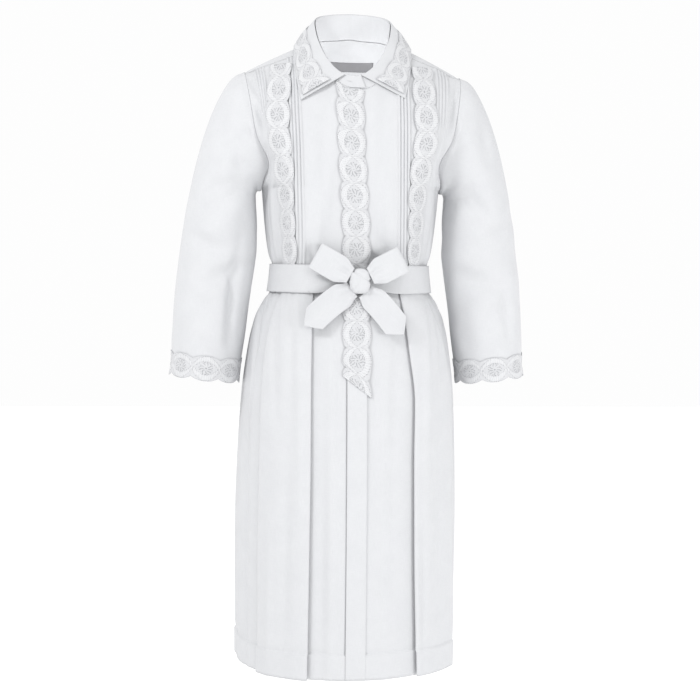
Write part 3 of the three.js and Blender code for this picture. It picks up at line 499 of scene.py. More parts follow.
def sleevePoint(at, angle, extra=0):
    ring = sleeveRing(at)
    c, s = np.cos(angle), np.sin(angle)
    shrink = 1 - (foldDepth(at, angle) + extra) / 75
    x = lerp(ring["inX"], ring["outX"], 0.5 + 0.5 * c * shrink)
    z = lerp(ring["inZ"], ring["outZ"], 0.5 + 0.5 * c * shrink)
    depth = np.where(s < 0, ring["front"], ring["back"])
    scoop = np.where(s < 0, ring["scoop"] * np.exp(-((c + 0.58) / 0.3) ** 2) * np.minimum(1, -s * 1.5), 0)
    gap = seamGap * (1 - smooth(0, 0.6, at))
    return stack(x - scoop + gap, depth * s * shrink, z)


bodySide = Table(["z", "half"], [underarmZ, 186], [-336, 183], [-378, 179], [-420, 173.5], [-441, 169],
                 [-457, 162.5], [waistZ, 158])


def edgeAt(z, side):
    z = np.asarray(z, float)
    ring = sleeveRing(0)
    c = np.clip(2 * (z - ring["inZ"]) / (ring["outZ"] - ring["inZ"]) - 1, -1, 1)
    hole = sleevePoint(np.zeros_like(z), side * np.arccos(c))
    x = np.where(z >= armholeTop, shoulderHalf,
                 np.where(z <= underarmZ, bodySide(z)["half"], hole[..., 0] - seamGap))
    inside = (z < armholeTop) & (z > underarmZ)
    y = np.where(inside, np.maximum(np.abs(hole[..., 1]), seamGap / 2), seamGap / 2)
    return x, y


# the bodice's sections, without creases
bodiceForm = Table(["z", "front", "back", "cornerFront", "cornerBack", "soft", "sideRound"],
                   [40, 112, 106, 168, 150, 10, 4],
                   [-97, 119, 113, 168, 150, 10, 4],
                   [-200, 122, 117, 166, 140, 10, 4],
                   [underarmZ, 122, 113, 138, 125, 14, 7],
                   [-378, 119, 107, 118, 112, 13, 8],
                   [-436, 115, 101, 108, 104, 12, 8],
                   [-457, 110, 97, 105, 101, 12, 8],
                   [waistZ, 107, 94, 102, 98, 12, 8])


def ridge(x, side):
    out = np.hypot(x, 16) - 76
    nape = np.where((np.asarray(side) > 0) & (np.abs(x) < 76), 26 * (1 - (x / 76) ** 4), 0)
    return 8 - 0.4 * out - 0.0005 * out * out + nape


def sectionReach(z, side):
    return edgeAt(z, side)[0] + 1.7 * bodiceForm(z)["sideRound"]


def shellPoint(p, z, side):
    p, z = np.broadcast_arrays(np.asarray(p, float), np.asarray(z, float))
    form = bodiceForm(z)
    edgeX, edgeY = edgeAt(z, side)
    around, front = form["sideRound"], np.asarray(side) < 0
    x = p - around * softRamp((p - edgeX - 0.2 * around) / around)
    corner = np.where(front, form["cornerFront"], form["cornerBack"])

    def bend(q):
        return softRamp((q - corner) / form["soft"]) - softRamp(-corner / form["soft"])

    turned = bend(p) / bend(edgeX + 1.7 * around)
    drop = np.clip((ridge(x, side) - z) / capDepth, 0, 1)
    depth = np.where(front, form["front"], form["back"]) * (1 - (1 - drop) ** 2) ** 0.6
    return stack(x, side * lerp(depth, edgeY, turned), z)


def capZ(p, tilt):
    return ridge(p, np.sign(tilt)) - capDepth * (1 - np.cos(np.radians(tilt)))


def neckAt(turn):
    turn = np.asarray(turn, float)
    c, s = np.cos(np.radians(turn)), np.sin(np.radians(turn))
    return np.sign(s) * neckHalf * np.abs(s) ** 0.85, np.where(c > 0, -70.4 * c, -35.4 * c)


yokeTurn = 67.4
yokeNeckP = float(neckAt(yokeTurn)[0])
yokeBackZ = -105


def yokeFrontTilt(p):
    return -27 + 15 * np.clip((p - 80) / 145, 0, 1) ** 1.6


def frontTopZ(p):
    q = np.abs(p)
    s = np.clip(q / neckHalf, 0, 1) ** (1 / 0.85)
    inner = capZ(q, -70.4 * np.sqrt(1 - s * s))
    outer = capZ(q, yokeFrontTilt(q) - 0.12)
    return np.where(q >= yokeNeckP, outer, inner)


tuckLine = Table(["z", "right", "left"], [0, 127, 92], [-125, 126, 92], [-250, 121, 93], [-428, 113, 95],
                 [waistZ, 112, 94])
innerTucks = {"count": 4, "pitch": 6.6, "height": 3.0}
outerTucks = {"count": 4, "from": 0.47, "pitch": 0.062, "height": 2.2, "fade": (-187, -163)}
placketHalf = 19.7
frontEdges = {"over": placketHalf + seamGap, "under": 3 - placketHalf}


# fronts, with their pin tucks
front = {"rowStep": 4.0, "centreStep": 3.0, "wall": 0.9}
# soft creases over the fronts: across, height, depth, half widths, and lean of the crease
frontCreases = {
    "right": [(60, -150, -1.2, 16, 70, 0.05), (45, -330, -1.4, 14, 90, -0.08), (78, -400, 1.3, 9, 60, -0.05),
              (185, -230, -2.2, 10, 60, 0.10), (196, -165, -3.2, 8, 34, 0.35), (168, -330, 1.6, 7, 80, 0.12),
              (180, -300, -2.0, 7, 50, -0.20), (150, -400, -1.6, 6, 70, 0.06), (165, -420, 1.4, 6, 60, 0.05),
              (60, -462, -3.0, 14, 14, 0.0), (88, -440, -2.4, 8, 22, 0.3), (30, -230, 0.9, 10, 80, 0.02),
              (70, -240, -1.0, 12, 70, 0.04), (205, -105, -2.4, 8, 26, 0.4)],
    "left": [(58, -170, -1.2, 15, 70, -0.03), (66, -300, 1.2, 14, 80, 0.05), (48, -390, -1.5, 12, 70, -0.06),
             (188, -225, -2.0, 10, 60, 0.12), (198, -150, -2.6, 8, 40, 0.30), (160, -345, 1.6, 7, 80, 0.10),
             (176, -310, -1.8, 8, 60, -0.16), (148, -410, -1.5, 6, 60, 0.07), (163, -425, 1.3, 6, 55, 0.05),
             (46, -452, -4.6, 11, 24, -0.8), (60, -425, -1.5, 8, 22, -0.5), (32, -220, 0.8, 10, 90, -0.02),
             (74, -200, -0.9, 10, 60, 0.04), (206, -110, -2.0, 8, 30, 0.35)],
}
creaseOfFront = {"strength": 2.2, "deepest": -9, "highest": 5}


def creased(creases, p, z):
    total = np.zeros(np.broadcast(p, z).shape)
    for across, height, depth, wide, tall, lean in creases:
        off = z - height
        total = total + depth * np.exp(-((p - across - lean * off) / wide) ** 2 - (off / tall) ** 2)
    return total


def frontCrease(side, p, z):
    high = creaseOfFront["strength"] * creased(frontCreases[side], p, z)
    return np.clip(high, creaseOfFront["deepest"], creaseOfFront["highest"])


def tuckProfile(s):
    # the outer face of a sewn fold, rising slowly and dropping at its edge
    s = s % 1
    return smooth(0.02, 0.5, s) * (1 - smooth(0.86, 0.96, s))


def frontColumnsOf(start, side):
    top = float(tuckLine(0.0)[side]) - innerTucks["count"] * innerTucks["pitch"] / 2
    count = int((top - start) / front["centreStep"])
    columns = [("centre", s, 0.0) for s in np.linspace(0, 1, count)[:-1]]
    stops = [0, 0.18, 0.36, 0.55, 0.74, 0.85, 0.9, 0.95]
    for k in range(innerTucks["count"]):
        columns += [("tucks", (k + s - innerTucks["count"] / 2) * innerTucks["pitch"], s) for s in stops]
    columns += [("tucks", innerTucks["count"] / 2 * innerTucks["pitch"], 0.0)]
    first, pitch = outerTucks["from"], outerTucks["pitch"]
    last = first + outerTucks["count"] * pitch
    columns += [("outer", s, 0.0) for s in np.linspace(0, first, 24)[1:-1]]
    for k in range(outerTucks["count"]):
        columns += [("outer", first + (k + s) * pitch, s) for s in (0, 0.2, 0.45, 0.7, 0.84, 0.95)]
    columns += [("outer", s, 0.0) for s in np.linspace(last, 1, 20)]
    return columns


def frontGrid(start, side):
    columns = frontColumnsOf(start, side)
    zone = np.array([c[0] for c in columns])
    place = np.array([c[1] for c in columns])
    fold = np.array([c[2] for c in columns])
    half = innerTucks["count"] * innerTucks["pitch"] / 2

    def across(z):
        tucks = tuckLine(z)[side]
        return np.where(zone == "centre", lerp(start, tucks - half, place),
                        np.where(zone == "tucks", tucks + place,
                                 lerp(tucks + half, sectionReach(z, -1), place)))

    top = np.zeros(len(columns))
    for _ in range(6):
        top = frontTopZ(np.minimum(across(top), shoulderHalf))
    shares = np.linspace(0, 1, int((top.max() - waistZ) / front["rowStep"]))
    z = lerp(waistZ + seamGap / 2, top[None, :], shares[:, None])
    p = across(z)
    grid = shellPoint(p, z, -1)
    normals = normalsOf(grid)
    high = np.zeros_like(z)
    high += np.where(zone == "tucks", innerTucks["height"] * tuckProfile(fold), 0)
    outerFold = np.where((zone == "outer") & (fold > 0), outerTucks["height"] * tuckProfile(fold), 0)
    high += outerFold * smooth(*outerTucks["fade"], z)
    # below the outer tucks their cloth is let out in soft upright waves
    letOut = (1 - smooth(-190, -150, z)) * np.where(zone == "outer", 1, 0)
    wave = 1.1 * np.sin((place - 0.30) * 34) * bump(place - 0.56, 0.2)
    high += letOut * wave * smooth(waistZ, waistZ + 60, z)
    edge = smooth(0, 0.06, shares)[:, None] * (1 - smooth(0.96, 1, shares))[:, None]
    sideEdge = np.where(zone == "outer", 1 - smooth(0.9, 1.0, place), 1)
    high += frontCrease(side, p, z) * edge * sideEdge
    # gathers rising from the waist seam
    gather = np.sin(p * 0.62 + 0.5) * smooth(95, 125, p) * (1 - smooth(waistZ, waistZ + 55, z)) * 0.9
    high += gather * sideEdge
    grid = grid + normals * high[..., None]
    return grid, p, z, zone, place


for side, start, mirror in (("right", frontEdges["over"], True), ("left", frontEdges["under"], False)):
    grid, p, z, zone, place = frontGrid(start, side)
    normals = normalsOf(grid)
    square = normals[:, -1].copy()
    square[grid[:, -1, 2] <= underarmZ + 1, 1] = 0
    square[:, 0] = np.maximum(square[:, 0], 0)
    normals[:, -1] = square / np.linalg.norm(square, axis=1, keepdims=True)
    piece = shell("front_" + side, grid, front["wall"], cloth, mirror=mirror, normals=normals)
    finished(piece, "front_" + side)
print("fronts made")


# back and yoke
def backSurface(share, part):
    z = lerp(waistZ + seamGap / 2, yokeBackZ - 2 * seamGap, share)
    p = shellPoint(np.abs(part) * sectionReach(z, 1), z, 1)
    p[..., 0] *= np.sign(part)
    return p


backCreases = [(0, -180, -1.5, 26, 90, 0.0), (60, -300, 1.8, 16, 110, 0.12),
               (-64, -280, 1.8, 16, 110, -0.12), (120, -200, -2.0, 14, 80, 0.25),
               (-118, -210, -2.0, 14, 80, -0.25), (24, -400, -1.6, 12, 60, 0.0),
               (-30, -410, 1.4, 12, 60, 0.02), (150, -330, 1.8, 9, 80, 0.10),
               (-152, -320, 1.8, 9, 80, -0.10)]
shares = np.linspace(0, 1, 74)[:, None]
parts = np.linspace(1, -1, 110)[None, :]
grid = backSurface(shares, np.where(parts == 0, 1e-6, parts))
normals = normalsOf(grid)
lift = creased(backCreases, grid[..., 0], grid[..., 2])
lift = lift + 1.2 * np.sin(parts * 40) * (1 - smooth(0, 0.16, shares)) * bump(parts, 0.55)
lift = lift * smooth(0, 0.05, shares) * (1 - smooth(0.93, 1, shares))
lift = lift * (1 - smooth(0.88, 0.98, np.abs(parts)))
grid = grid + normals * lift[..., None]
normals = normalsOf(grid)
for edge in (0, -1):
    square = normals[:, edge].copy()
    square[grid[:, edge, 2] <= underarmZ + 1, 1] = 0
    sign = 1 if edge == 0 else -1
    square[:, 0] = sign * np.maximum(square[:, 0] * sign, 0)
    normals[:, edge] = square / np.linalg.norm(square, axis=1, keepdims=True)
finished(shell("back", grid, front["wall"], cloth, normals=normals), "back")


def yokeGrid(rows):
    seamAt = np.array([96, 122, 147, 176, 202, 217.0])
    neckFeet = np.array([0, 14, 28, 43, 58, 73, 86, 93.0])
    neckTurns = np.array([180, 160, 140, 122, 106, 92, 80, yokeTurn])
    columnP, columnTilt = neckAt(neckTurns)
    columnP = np.concatenate([columnP, seamAt, [shoulderHalf]])
    columnTilt = np.concatenate([columnTilt, yokeFrontTilt(seamAt), [yokeFrontTilt(shoulderHalf)]])
    feet = np.concatenate([neckFeet, seamAt + 7 * (1 - (seamAt - 96) / 109), [shoulderHalf]])
    stops = np.arange(len(feet), dtype=float)
    fine = np.unique(np.concatenate([np.linspace(0, 7, 42), np.linspace(7, len(feet) - 1, 42)]))

    def finer(values):
        return Table(["i", "v"], *[[a, b] for a, b in zip(stops, values)])(fine)["v"]

    foot, p, tilt = finer(feet), finer(columnP), finer(columnTilt)
    neckPart = fine <= 7
    turns = np.interp(fine, stops[:8], neckTurns)
    neckP, neckTilt = neckAt(turns)
    p = np.where(neckPart, neckP, p)
    tilt = np.where(neckPart, neckTilt, yokeFrontTilt(np.maximum(p, 80)))
    share = np.linspace(0, 1, rows)[:, None]
    footTilt = np.degrees(np.arccos(1 - (ridge(foot, 1) - yokeBackZ) / capDepth))
    tilts = lerp(footTilt, tilt, share)
    side = np.where(tilts < 0, -1, 1)
    across = lerp(foot, p, share)
    z = capZ(across, np.where(tilts == 0, 1e-6, tilts))
    across = np.where(fine == fine[-1], sectionReach(z, side), across)
    half = shellPoint(across, z, side)
    left = half[:, ::-1][:, :-1]
    right = half * [-1, 1, 1]
    return np.concatenate([left, right], 1)


grid = yokeGrid(40)
normals = normalsOf(grid)
for edge, sign in ((0, 1), (-1, -1)):
    square = normals[:, edge].copy()
    square[:, 0] = sign * np.maximum(square[:, 0] * sign, 0)
    normals[:, edge] = square / np.linalg.norm(square, axis=1, keepdims=True)
yokeGridPoints, yokeNormals = grid, normals
finished(shell("yoke", grid, front["wall"], cloth, normals=normals), "yoke")
print("back and yoke made")


# sleeves
sleeve = {"rows": 105, "around": 96, "wall": 0.9, "hem": 13, "foldLimit": 3.6, "foldDepth": 3.3,
          "round": 480}
fineFolds = {
    "left": [(5.4, 262, 3.5, 0.5, 34, 40), (6.2, 300, 2.5, 0.4, 30, -34), (8.6, 262, 3.0, 0.5, 36, 30),
             (10.2, 285, 2.5, 0.6, 30, -24), (4.4, 245, 2.5, 0.8, 20, 20), (10.4, 300, 2.2, 1.6, 9, 0),
             (6.9, 120, 3.0, 0.6, 36, -30), (8.8, 70, 3.0, 0.6, 36, 30), (3.0, 100, 2.5, 1.2, 22, 10),
             (1.2, 262, 2.6, 0.9, 10, 26), (2.4, 312, 2.4, 0.7, 14, -10)],
    "right": [(5.0, 268, 3.0, 0.6, 34, 36), (6.9, 292, 3.0, 0.45, 34, -30), (8.3, 255, 3.2, 0.5, 34, 34),
              (9.8, 290, 2.2, 0.6, 28, -24), (3.9, 250, 2.5, 0.8, 20, 18), (9.6, 236, 3.6, 2.4, 8, 4),
              (4.9, 296, 3.4, 0.7, 26, 44), (2.6, 255, 2.6, 0.6, 14, 30),
              (7.2, 110, 3.0, 0.6, 36, -30), (9.1, 80, 3.0, 0.6, 36, 30), (3.2, 95, 2.5, 1.2, 22, 10),
              (1.0, 268, 2.8, 0.9, 10, 24), (2.2, 318, 2.2, 0.7, 14, -8)],
}


def sleeveSurface(at, angle, side):
    fine = np.minimum(foldDepth(at, angle, fineFolds[side]), sleeve["foldLimit"])
    fine = fine * smooth(0.1, 0.9, at) * (1 - smooth(11.4, 12.3, at))
    head = smooth(0.02, 0.5, at) * (1 - smooth(0.5, 1.6, at))
    ease = 0.5 * np.sin(angle * 26) * head * smooth(-0.2, 0.5, np.cos(angle))
    full = 2.0 * smooth(0.0, 0.7, at) * (1 - smooth(0.9, 2.2, at))
    return sleevePoint(at, angle, sleeve["foldDepth"] * fine - ease - full)


for side in ("left", "right"):
    at = np.concatenate([np.linspace(sleeve["hem"], 0.5, sleeve["rows"]), np.linspace(0.44, 0, 8)])[:, None]
    angle = -np.arange(sleeve["around"])[None, :] / sleeve["around"] * 2 * math.pi
    grid = sleeveSurface(at, angle, side)
    normals = normalsOf(grid, ring=True)
    normals[-1, :, 0] = np.minimum(normals[-1, :, 0], 0)
    normals[-1] /= np.linalg.norm(normals[-1], axis=1, keepdims=True)
    u = np.broadcast_to(angle / (2 * math.pi) * sleeve["round"], grid.shape[:2])
    uv = np.stack([u, lengthsAlong(grid, 0)], -1)
    piece = shell("sleeve_" + side, grid, sleeve["wall"], cloth, ring=True, mirror=side == "right",
                  uv=uv, normals=normals, period=sleeve["round"])
    finished(piece, "sleeve_" + side)
print("sleeves made")


# laces
laceWall, laceRelief = 0.9, 0.55


def lacePattern(q, c):
    # how high the threads stand: two plaited bands that cross, and a flower in each medallion
    swing = np.cos(np.pi * q)
    wave = 0.76 * swing * (np.abs(swing) + 0.03) ** -0.4
    bandA = 1 - smooth(0.15, 0.24, np.abs(c - wave))
    bandB = 1 - smooth(0.15, 0.24, np.abs(c + wave))
    crossing = bandA * np.abs(np.sin(np.pi * q)) ** 4
    x = ((q + 0.5) % 1 - 0.5) * 1.95
    radius = np.hypot(x, c)
    flower = 0.7 * (1 - smooth(0.25, 0.45, radius))
    return np.maximum(np.maximum(bandA, bandB), flower) + 0.5 * crossing


def scalloped(strip, t):
    wave = np.abs(np.cos(np.pi * strip["medallions"] * t))
    return lerp(strip["narrow"], strip["wide"], np.sqrt(wave))


picotLines = []


def laceShell(name, grid, normals, t, c, strip, mirror=False, ring=False, **more):
    q = t * strip["medallions"]
    wide = c * scalloped(strip, t) / strip["wide"] if "narrow" in strip else c
    high = laceRelief * lacePattern(q, wide) * (1 - 0.5 * smooth(0.9, 1, np.abs(c)))
    grid = grid + normals * high[..., None]
    pattern = np.stack(np.broadcast_arrays(q, wide), -1)
    inner = grid - normals * (laceWall + high)[..., None]
    side = [-1, 1, 1] if mirror else [1, 1, 1]
    for edge in (0, -1):
        if len(t) > 1:
            picotLines.append((grid[:, edge] * side, normals[:, edge] * side))
        else:
            picotLines.append((grid[edge] * side, normals[edge] * side))
    piece = shell(name, grid, laceWall, lace, mirror=mirror, ring=ring, inner=inner, pattern=pattern, **more)
    return finished(piece, name, "lace")


def edgeParts(count):
    # across a strip, closer together at its edges
    return np.sin(np.linspace(-1, 1, count) * math.pi / 2 * 0.96) / math.sin(math.pi / 2 * 0.96)


# placket and side laces of the bodice
bandLift = 2.8
band = {"wall": 2.0, "round": 0.6}


def bandEdge(part):
    # the placket's edges turn down softly
    return -band["round"] * smooth(0.93, 1, np.abs(part)) ** 2


def overBand(x):
    down = smooth(placketHalf + 0.8, placketHalf + 8, np.abs(x))
    return lerp(bandLift, 0.8, down) + 4 * seamGap + laceWall


def placketLean(z):
    # higher up, the placket lies a little to the wearer's right
    return -16 * smooth(waistZ + 40, -120, z)


shares = np.linspace(0, 1, 110)[:, None]
parts = edgeParts(19)[None, :]
p = np.broadcast_to(parts * placketHalf, (110, 19))
p = p + placketLean(lerp(waistZ + seamGap / 2, frontTopZ(p), shares))
z = lerp(waistZ + seamGap / 2, frontTopZ(p) - 0.3, shares)
base = shellPoint(p, z, -1)
normals = normalsOf(base)
lift = bandLift + bandEdge(parts) + 0.35 * np.sin(z * 0.021 + p * 0.03) * bump(p, 12)
placketGrid = base + normals * lift[..., None]
placketNormals = normals
finished(shell("placket_bodice", placketGrid, band["wall"], cloth, normals=normals), "placket_bodice")

placketLace = {"wide": 29, "narrow": 20.5, "medallions": 7}
t = np.linspace(0, 1, 7 * 38 + 1)[:, None]
c = edgeParts(37)[None, :]
across = c * scalloped(placketLace, t)
p = across + placketLean(lerp(waistZ + 6, frontTopZ(across) - 3, t))
z = lerp(waistZ + 6, frontTopZ(p) - 3, t)
base = shellPoint(p, z, -1)
normals = normalsOf(base)
uneven = 0.35 * np.sin(z * 0.06) * np.sign(across) * smooth(18, 28, np.abs(across))
grid = base + normals * (overBand(across) + uneven)[..., None]
laceShell("placket_lace_upper", grid, normals, t, c, placketLace)

sideLace = {"wide": 25, "narrow": 18, "medallions": 8, "top": -52, "end": -480}
sideLaceLine = Table(["z", "right", "left"], [-52, 152, 137], [-100, 157, 136], [-147, 161, 138],
                     [-191, 161, 140], [-245, 152, 133], [-313, 143, 126], [-374, 137, 124],
                     [-425, 132, 122], [waistZ, 128, 120])


def crossFrom(p, z, length):
    # the point a given length across from a line, measured on the cloth
    steps = 14
    q = np.array(p, float)
    before = shellPoint(q, z, -1)
    for _ in range(steps):
        trial = q + length / steps
        moved = np.linalg.norm(shellPoint(trial, z, -1) - before, axis=-1)
        q = q + length / steps * np.abs(length / steps) / np.maximum(moved, 1e-6)
        before = shellPoint(q, z, -1)
    return q


t = np.linspace(0, 1, 8 * 36 + 1)[:, None]
c = edgeParts(33)[None, :]
z = lerp(sideLace["end"], sideLace["top"], t)
width = c * scalloped(sideLace, t)
width = np.where(np.abs(width) < 1e-6, 1e-6, width)
for side in ("right", "left"):
    line = np.broadcast_to(sideLaceLine(z)[side], width.shape)
    p = crossFrom(line, np.broadcast_to(z, width.shape), width)
    base = shellPoint(p, z, -1)
    normals = normalsOf(base)
    # the lace follows the creases of the cloth under it
    lift = 2.7 + 0.9 * smooth(-205, -170, z) + 0.6 * (1 - smooth(-450, -430, z))
    lift = lift + frontCrease(side, p, z)
    tuckEdge = tuckLine(z)[side] + innerTucks["count"] * innerTucks["pitch"] / 2
    lift = lift + 2.4 * (1 - smooth(tuckEdge - 1, tuckEdge + 4, p))
    grid = base + normals * lift[..., None]
    laceShell("side_lace_" + side, grid, normals, t, c, sideLace, mirror=side == "right")

cuffLace = {"medallions": 8, "off": 2.4, "scallop": 7, "top": 12.45, "end": 14, "round": 470}
angle = np.arange(320)[None, :] / 320 * 2 * math.pi
down = np.linspace(1, 0, 29)[:, None]
edge = cuffLace["scallop"] * (1 - np.abs(np.cos(cuffLace["medallions"] * angle / 2))) ** 1.4
base = sleevePoint(lerp(cuffLace["top"], cuffLace["end"], down), np.broadcast_to(angle, (29, 320)))
base[..., 2] += edge * (2 * down - 1)
normals = normalsOf(base, ring=True)
grid = base + normals * cuffLace["off"]
u = np.broadcast_to(angle / (2 * math.pi) * cuffLace["round"], grid.shape[:2])
uv = np.stack([u, lengthsAlong(grid, 0)], -1)
for side in ("right", "left"):
    laceShell("cuff_lace_" + side, grid, normals, angle / (2 * math.pi), 1 - 2 * down, cuffLace, ring=True,
              mirror=side == "right", uv=uv, period=cuffLace["round"],
              patternPeriod=cuffLace["medallions"])
print("laces made")


# collar
rollLine = Table(["turn", "x", "y", "z"], [0, 0, -101, -76], [12, 19, -98, -71], [35, 45, -84, -48],
                 [55, 62, -64, -18], [75, 74, -36, 18], [95, 78, -6, 46], [120, 70, 26, 62],
                 [150, 42, 51, 72], [180, 0, 60, 76])
leafEdge = Table(["turn", "x", "tilt"], [9.5, 106, -66.6], [40, 114, -53], [70, 119, -38], [100, 123, -6],
                 [125, 108, 12], [150, 72, 27], [165, 40, 39], [180, 0, 47])
collar = {"overlap": 8.8, "twist": 0.09, "off": 5, "belly": 2.5, "standWall": 1.4, "foldDrop": 5,
          "leafGap": 3.6, "leafStart": 9.5, "leafWall": 1.0}


def halfTurn(turn):
    return np.abs(np.where(turn <= 180, turn, 360 - turn))


def handed(turn):
    return np.where(turn <= 180, 1, -1) * np.where((turn < 0) | (turn > 360), -1, 1)


def rollPoint(turn):
    row = rollLine(halfTurn(turn))
    return stack(handed(turn) * row["x"] + collar["twist"] * row["y"], row["y"], row["z"])


def neckSeam(turn):
    p, tilt = neckAt(halfTurn(turn))
    seam = shellPoint(p, capZ(p, tilt), np.where(tilt < 0, -1, 1))
    seam[..., 0] *= handed(turn)
    return seam


def standPoint(share, turn):
    foot, top = neckSeam(turn), rollPoint(turn)
    up = top - foot
    length = np.linalg.norm(up, axis=-1, keepdims=True)
    share = np.asarray(share, float)[..., None]
    return foot + up / length * lerp(seamGap + 0.7, length - collar["foldDrop"], share)


def overlapLift(turn):
    return 2.6 * smooth(322, 346, turn)


def leafOuter(turn):
    row = leafEdge(halfTurn(turn))
    tilt = row["tilt"]
    side = np.where(tilt < 0, -1, 1)
    depth = shellPoint(row["x"], capZ(row["x"], tilt), side)[..., 1]
    x = row["x"] + handed(turn) * collar["twist"] * np.minimum(depth, 0)
    q = shellPoint(x, capZ(x, tilt), side)
    gap = collar["leafGap"] + 2.6 * smooth(125, 160, halfTurn(turn))
    return stack(handed(turn) * q[..., 0], q[..., 1] + side * gap * np.sin(np.abs(np.radians(tilt))),
                 q[..., 2] + gap * np.cos(np.radians(tilt)))


def leafPoint(share, turn):
    share, turn = np.broadcast_arrays(np.asarray(share, float), np.asarray(turn, float))
    roll = rollPoint(turn)
    out = stack(roll[..., 0], roll[..., 1] + 20, 0 * roll[..., 0])
    out = out / np.linalg.norm(out, axis=-1, keepdims=True)
    lapped = overlapLift(turn)[..., None]
    start = standPoint(1, turn) + out * (1.4 + lapped) + [0, 0, 0.9]
    crest = roll + out * (2.5 + lapped)
    bent = roll + out * (collar["off"] + lapped) + [0, 0, -2]
    share = share[..., None]
    first = lerp(start, crest, np.clip(share / 0.05, 0, 1))
    second = lerp(crest, bent, np.clip((share - 0.05) / 0.05, 0, 1))
    t = np.clip((share - 0.1) / 0.9, 0, 1)
    q = lerp(bent, leafOuter(turn), t) + out * collar["belly"] * np.sin(np.pi * t)
    x, y, z = q[..., 0], q[..., 1], q[..., 2]
    chest = shellPoint(np.abs(x), z, -1)[..., 1] - collar["leafGap"]
    near = (halfTurn(turn) < 72) & (z < ridge(x, -1) - 4)
    q = stack(x, np.where(near, np.minimum(y, chest), y), z)
    return np.where(share <= 0.05, first, np.where(share <= 0.1, second, q))


turns = np.concatenate([np.linspace(-collar["overlap"], 0, 6)[:-1], np.linspace(0, 360, 241)[:-1],
                        np.linspace(360, 360 + collar["overlap"], 6)])[None, :]
shares = np.linspace(0, 1.08, 16)[:, None]
base = standPoint(*np.broadcast_arrays(shares, turns))
standTurns = turns[0]
normals = normalsOf(base)
grid = base + normals * overlapLift(turns)[..., None]
level = normals.copy()
level[..., 2] = 0
level /= np.linalg.norm(level, axis=2, keepdims=True)
standGrid, standNormals = grid, level
finished(shell("collar_stand", grid, collar["standWall"], cloth, normals=level), "collar_stand")

turns = np.linspace(collar["leafStart"], 360 - collar["leafStart"], 261)[None, :]
shares = np.concatenate([np.linspace(1, 0.1, 33), np.linspace(0.085, 0, 7)])[:, None]
grid = leafPoint(shares, turns)
for _ in range(2):  # the fold is round, not creased
    grid[30:-1] = grid[30:-1] * 0.5 + (grid[29:-2] + grid[31:]) * 0.25
normals = normalsOf(grid)
softWave = 0.8 * np.sin(turns * 0.21 + shares * 3) * np.sin(np.pi * np.clip(shares, 0, 1))
softWave = softWave * smooth(0.1, 0.4, shares)
grid = grid + normals * softWave[..., None]
leafGrid, leafNormals = grid, normals
finished(shell("collar_leaf", grid, collar["leafWall"], cloth, normals=normals), "collar_leaf")

collarLace = {"middle": 0.64, "wide": 0.3, "narrow": 0.22, "medallions": 4, "from": 14, "to": 118}
t = np.linspace(0, 1, 151)[None, :]
c = edgeParts(33)[::-1][:, None]
for side in ("right", "left"):
    turns = lerp(collarLace["from"], collarLace["to"], t)
    if side == "right":
        turns = 360 - turns[:, ::-1]
    base = leafPoint(collarLace["middle"] + c * scalloped(collarLace, t), turns)
    normals = normalsOf(base)
    grid = base + normals * (laceWall + 0.9 + 1.1 * (1 - smooth(25, 45, halfTurn(turns))))[..., None]
    laceShell("collar_lace_" + side, grid, normals, t, c, collarLace)

label = {"half": 54, "top": -24, "end": -43, "wall": 0.7}
shares = np.linspace(0, 1, 12)[:, None]
parts = np.linspace(1, -1, 40)[None, :]
z = lerp(label["end"], label["top"], shares)
reach = shellPoint(label["half"], z, 1)[..., 0]
grid = shellPoint(np.abs(parts) * reach, z, 1)
grid[..., 0] *= np.sign(parts)
normals = normalsOf(grid)
grid = grid + normals * (seamGap - 1.2)
finished(shell("neck_label", grid, label["wall"], labelCloth, normals=normals), "neck_label", "label")
print("collar made")


# skirt
skirtForm = Table(["z", "half", "front", "back", "round", "innerRight", "innerLeft", "width", "fold",
                   "stand"],
                  [waistZ, 158, 107, 94, 0, 82, 85, 82, 13, 5.2],
                  [-514, 166, 113, 100, 0.1, 83, 88, 86, 15, 5.6],
                  [-530, 178, 122, 111, 0.3, 84, 91, 91, 16, 6.2],
                  [-567, 197, 136, 124, 0.6, 86, 97, 100, 20, 7.6],
                  [-630, 211, 150, 137, 0.9, 88, 106, 108, 24, 8.8],
                  [-730, 222, 163, 148, 1, 89, 118, 114, 28, 9.6],
                  [-850, 227, 174, 158, 1, 89, 116, 117, 30, 10.2],
                  [-1000, 229.5, 183, 166, 1, 90, 117, 119, 31, 10.8],
                  [hemZ, 226, 192, 174, 1, 92, 125, 121, 32, 11.5])
skirt = {"wall": 0.8, "hemWall": 1.5, "backColumns": 100, "hemOut": 2.0, "hemLine": 1.2}


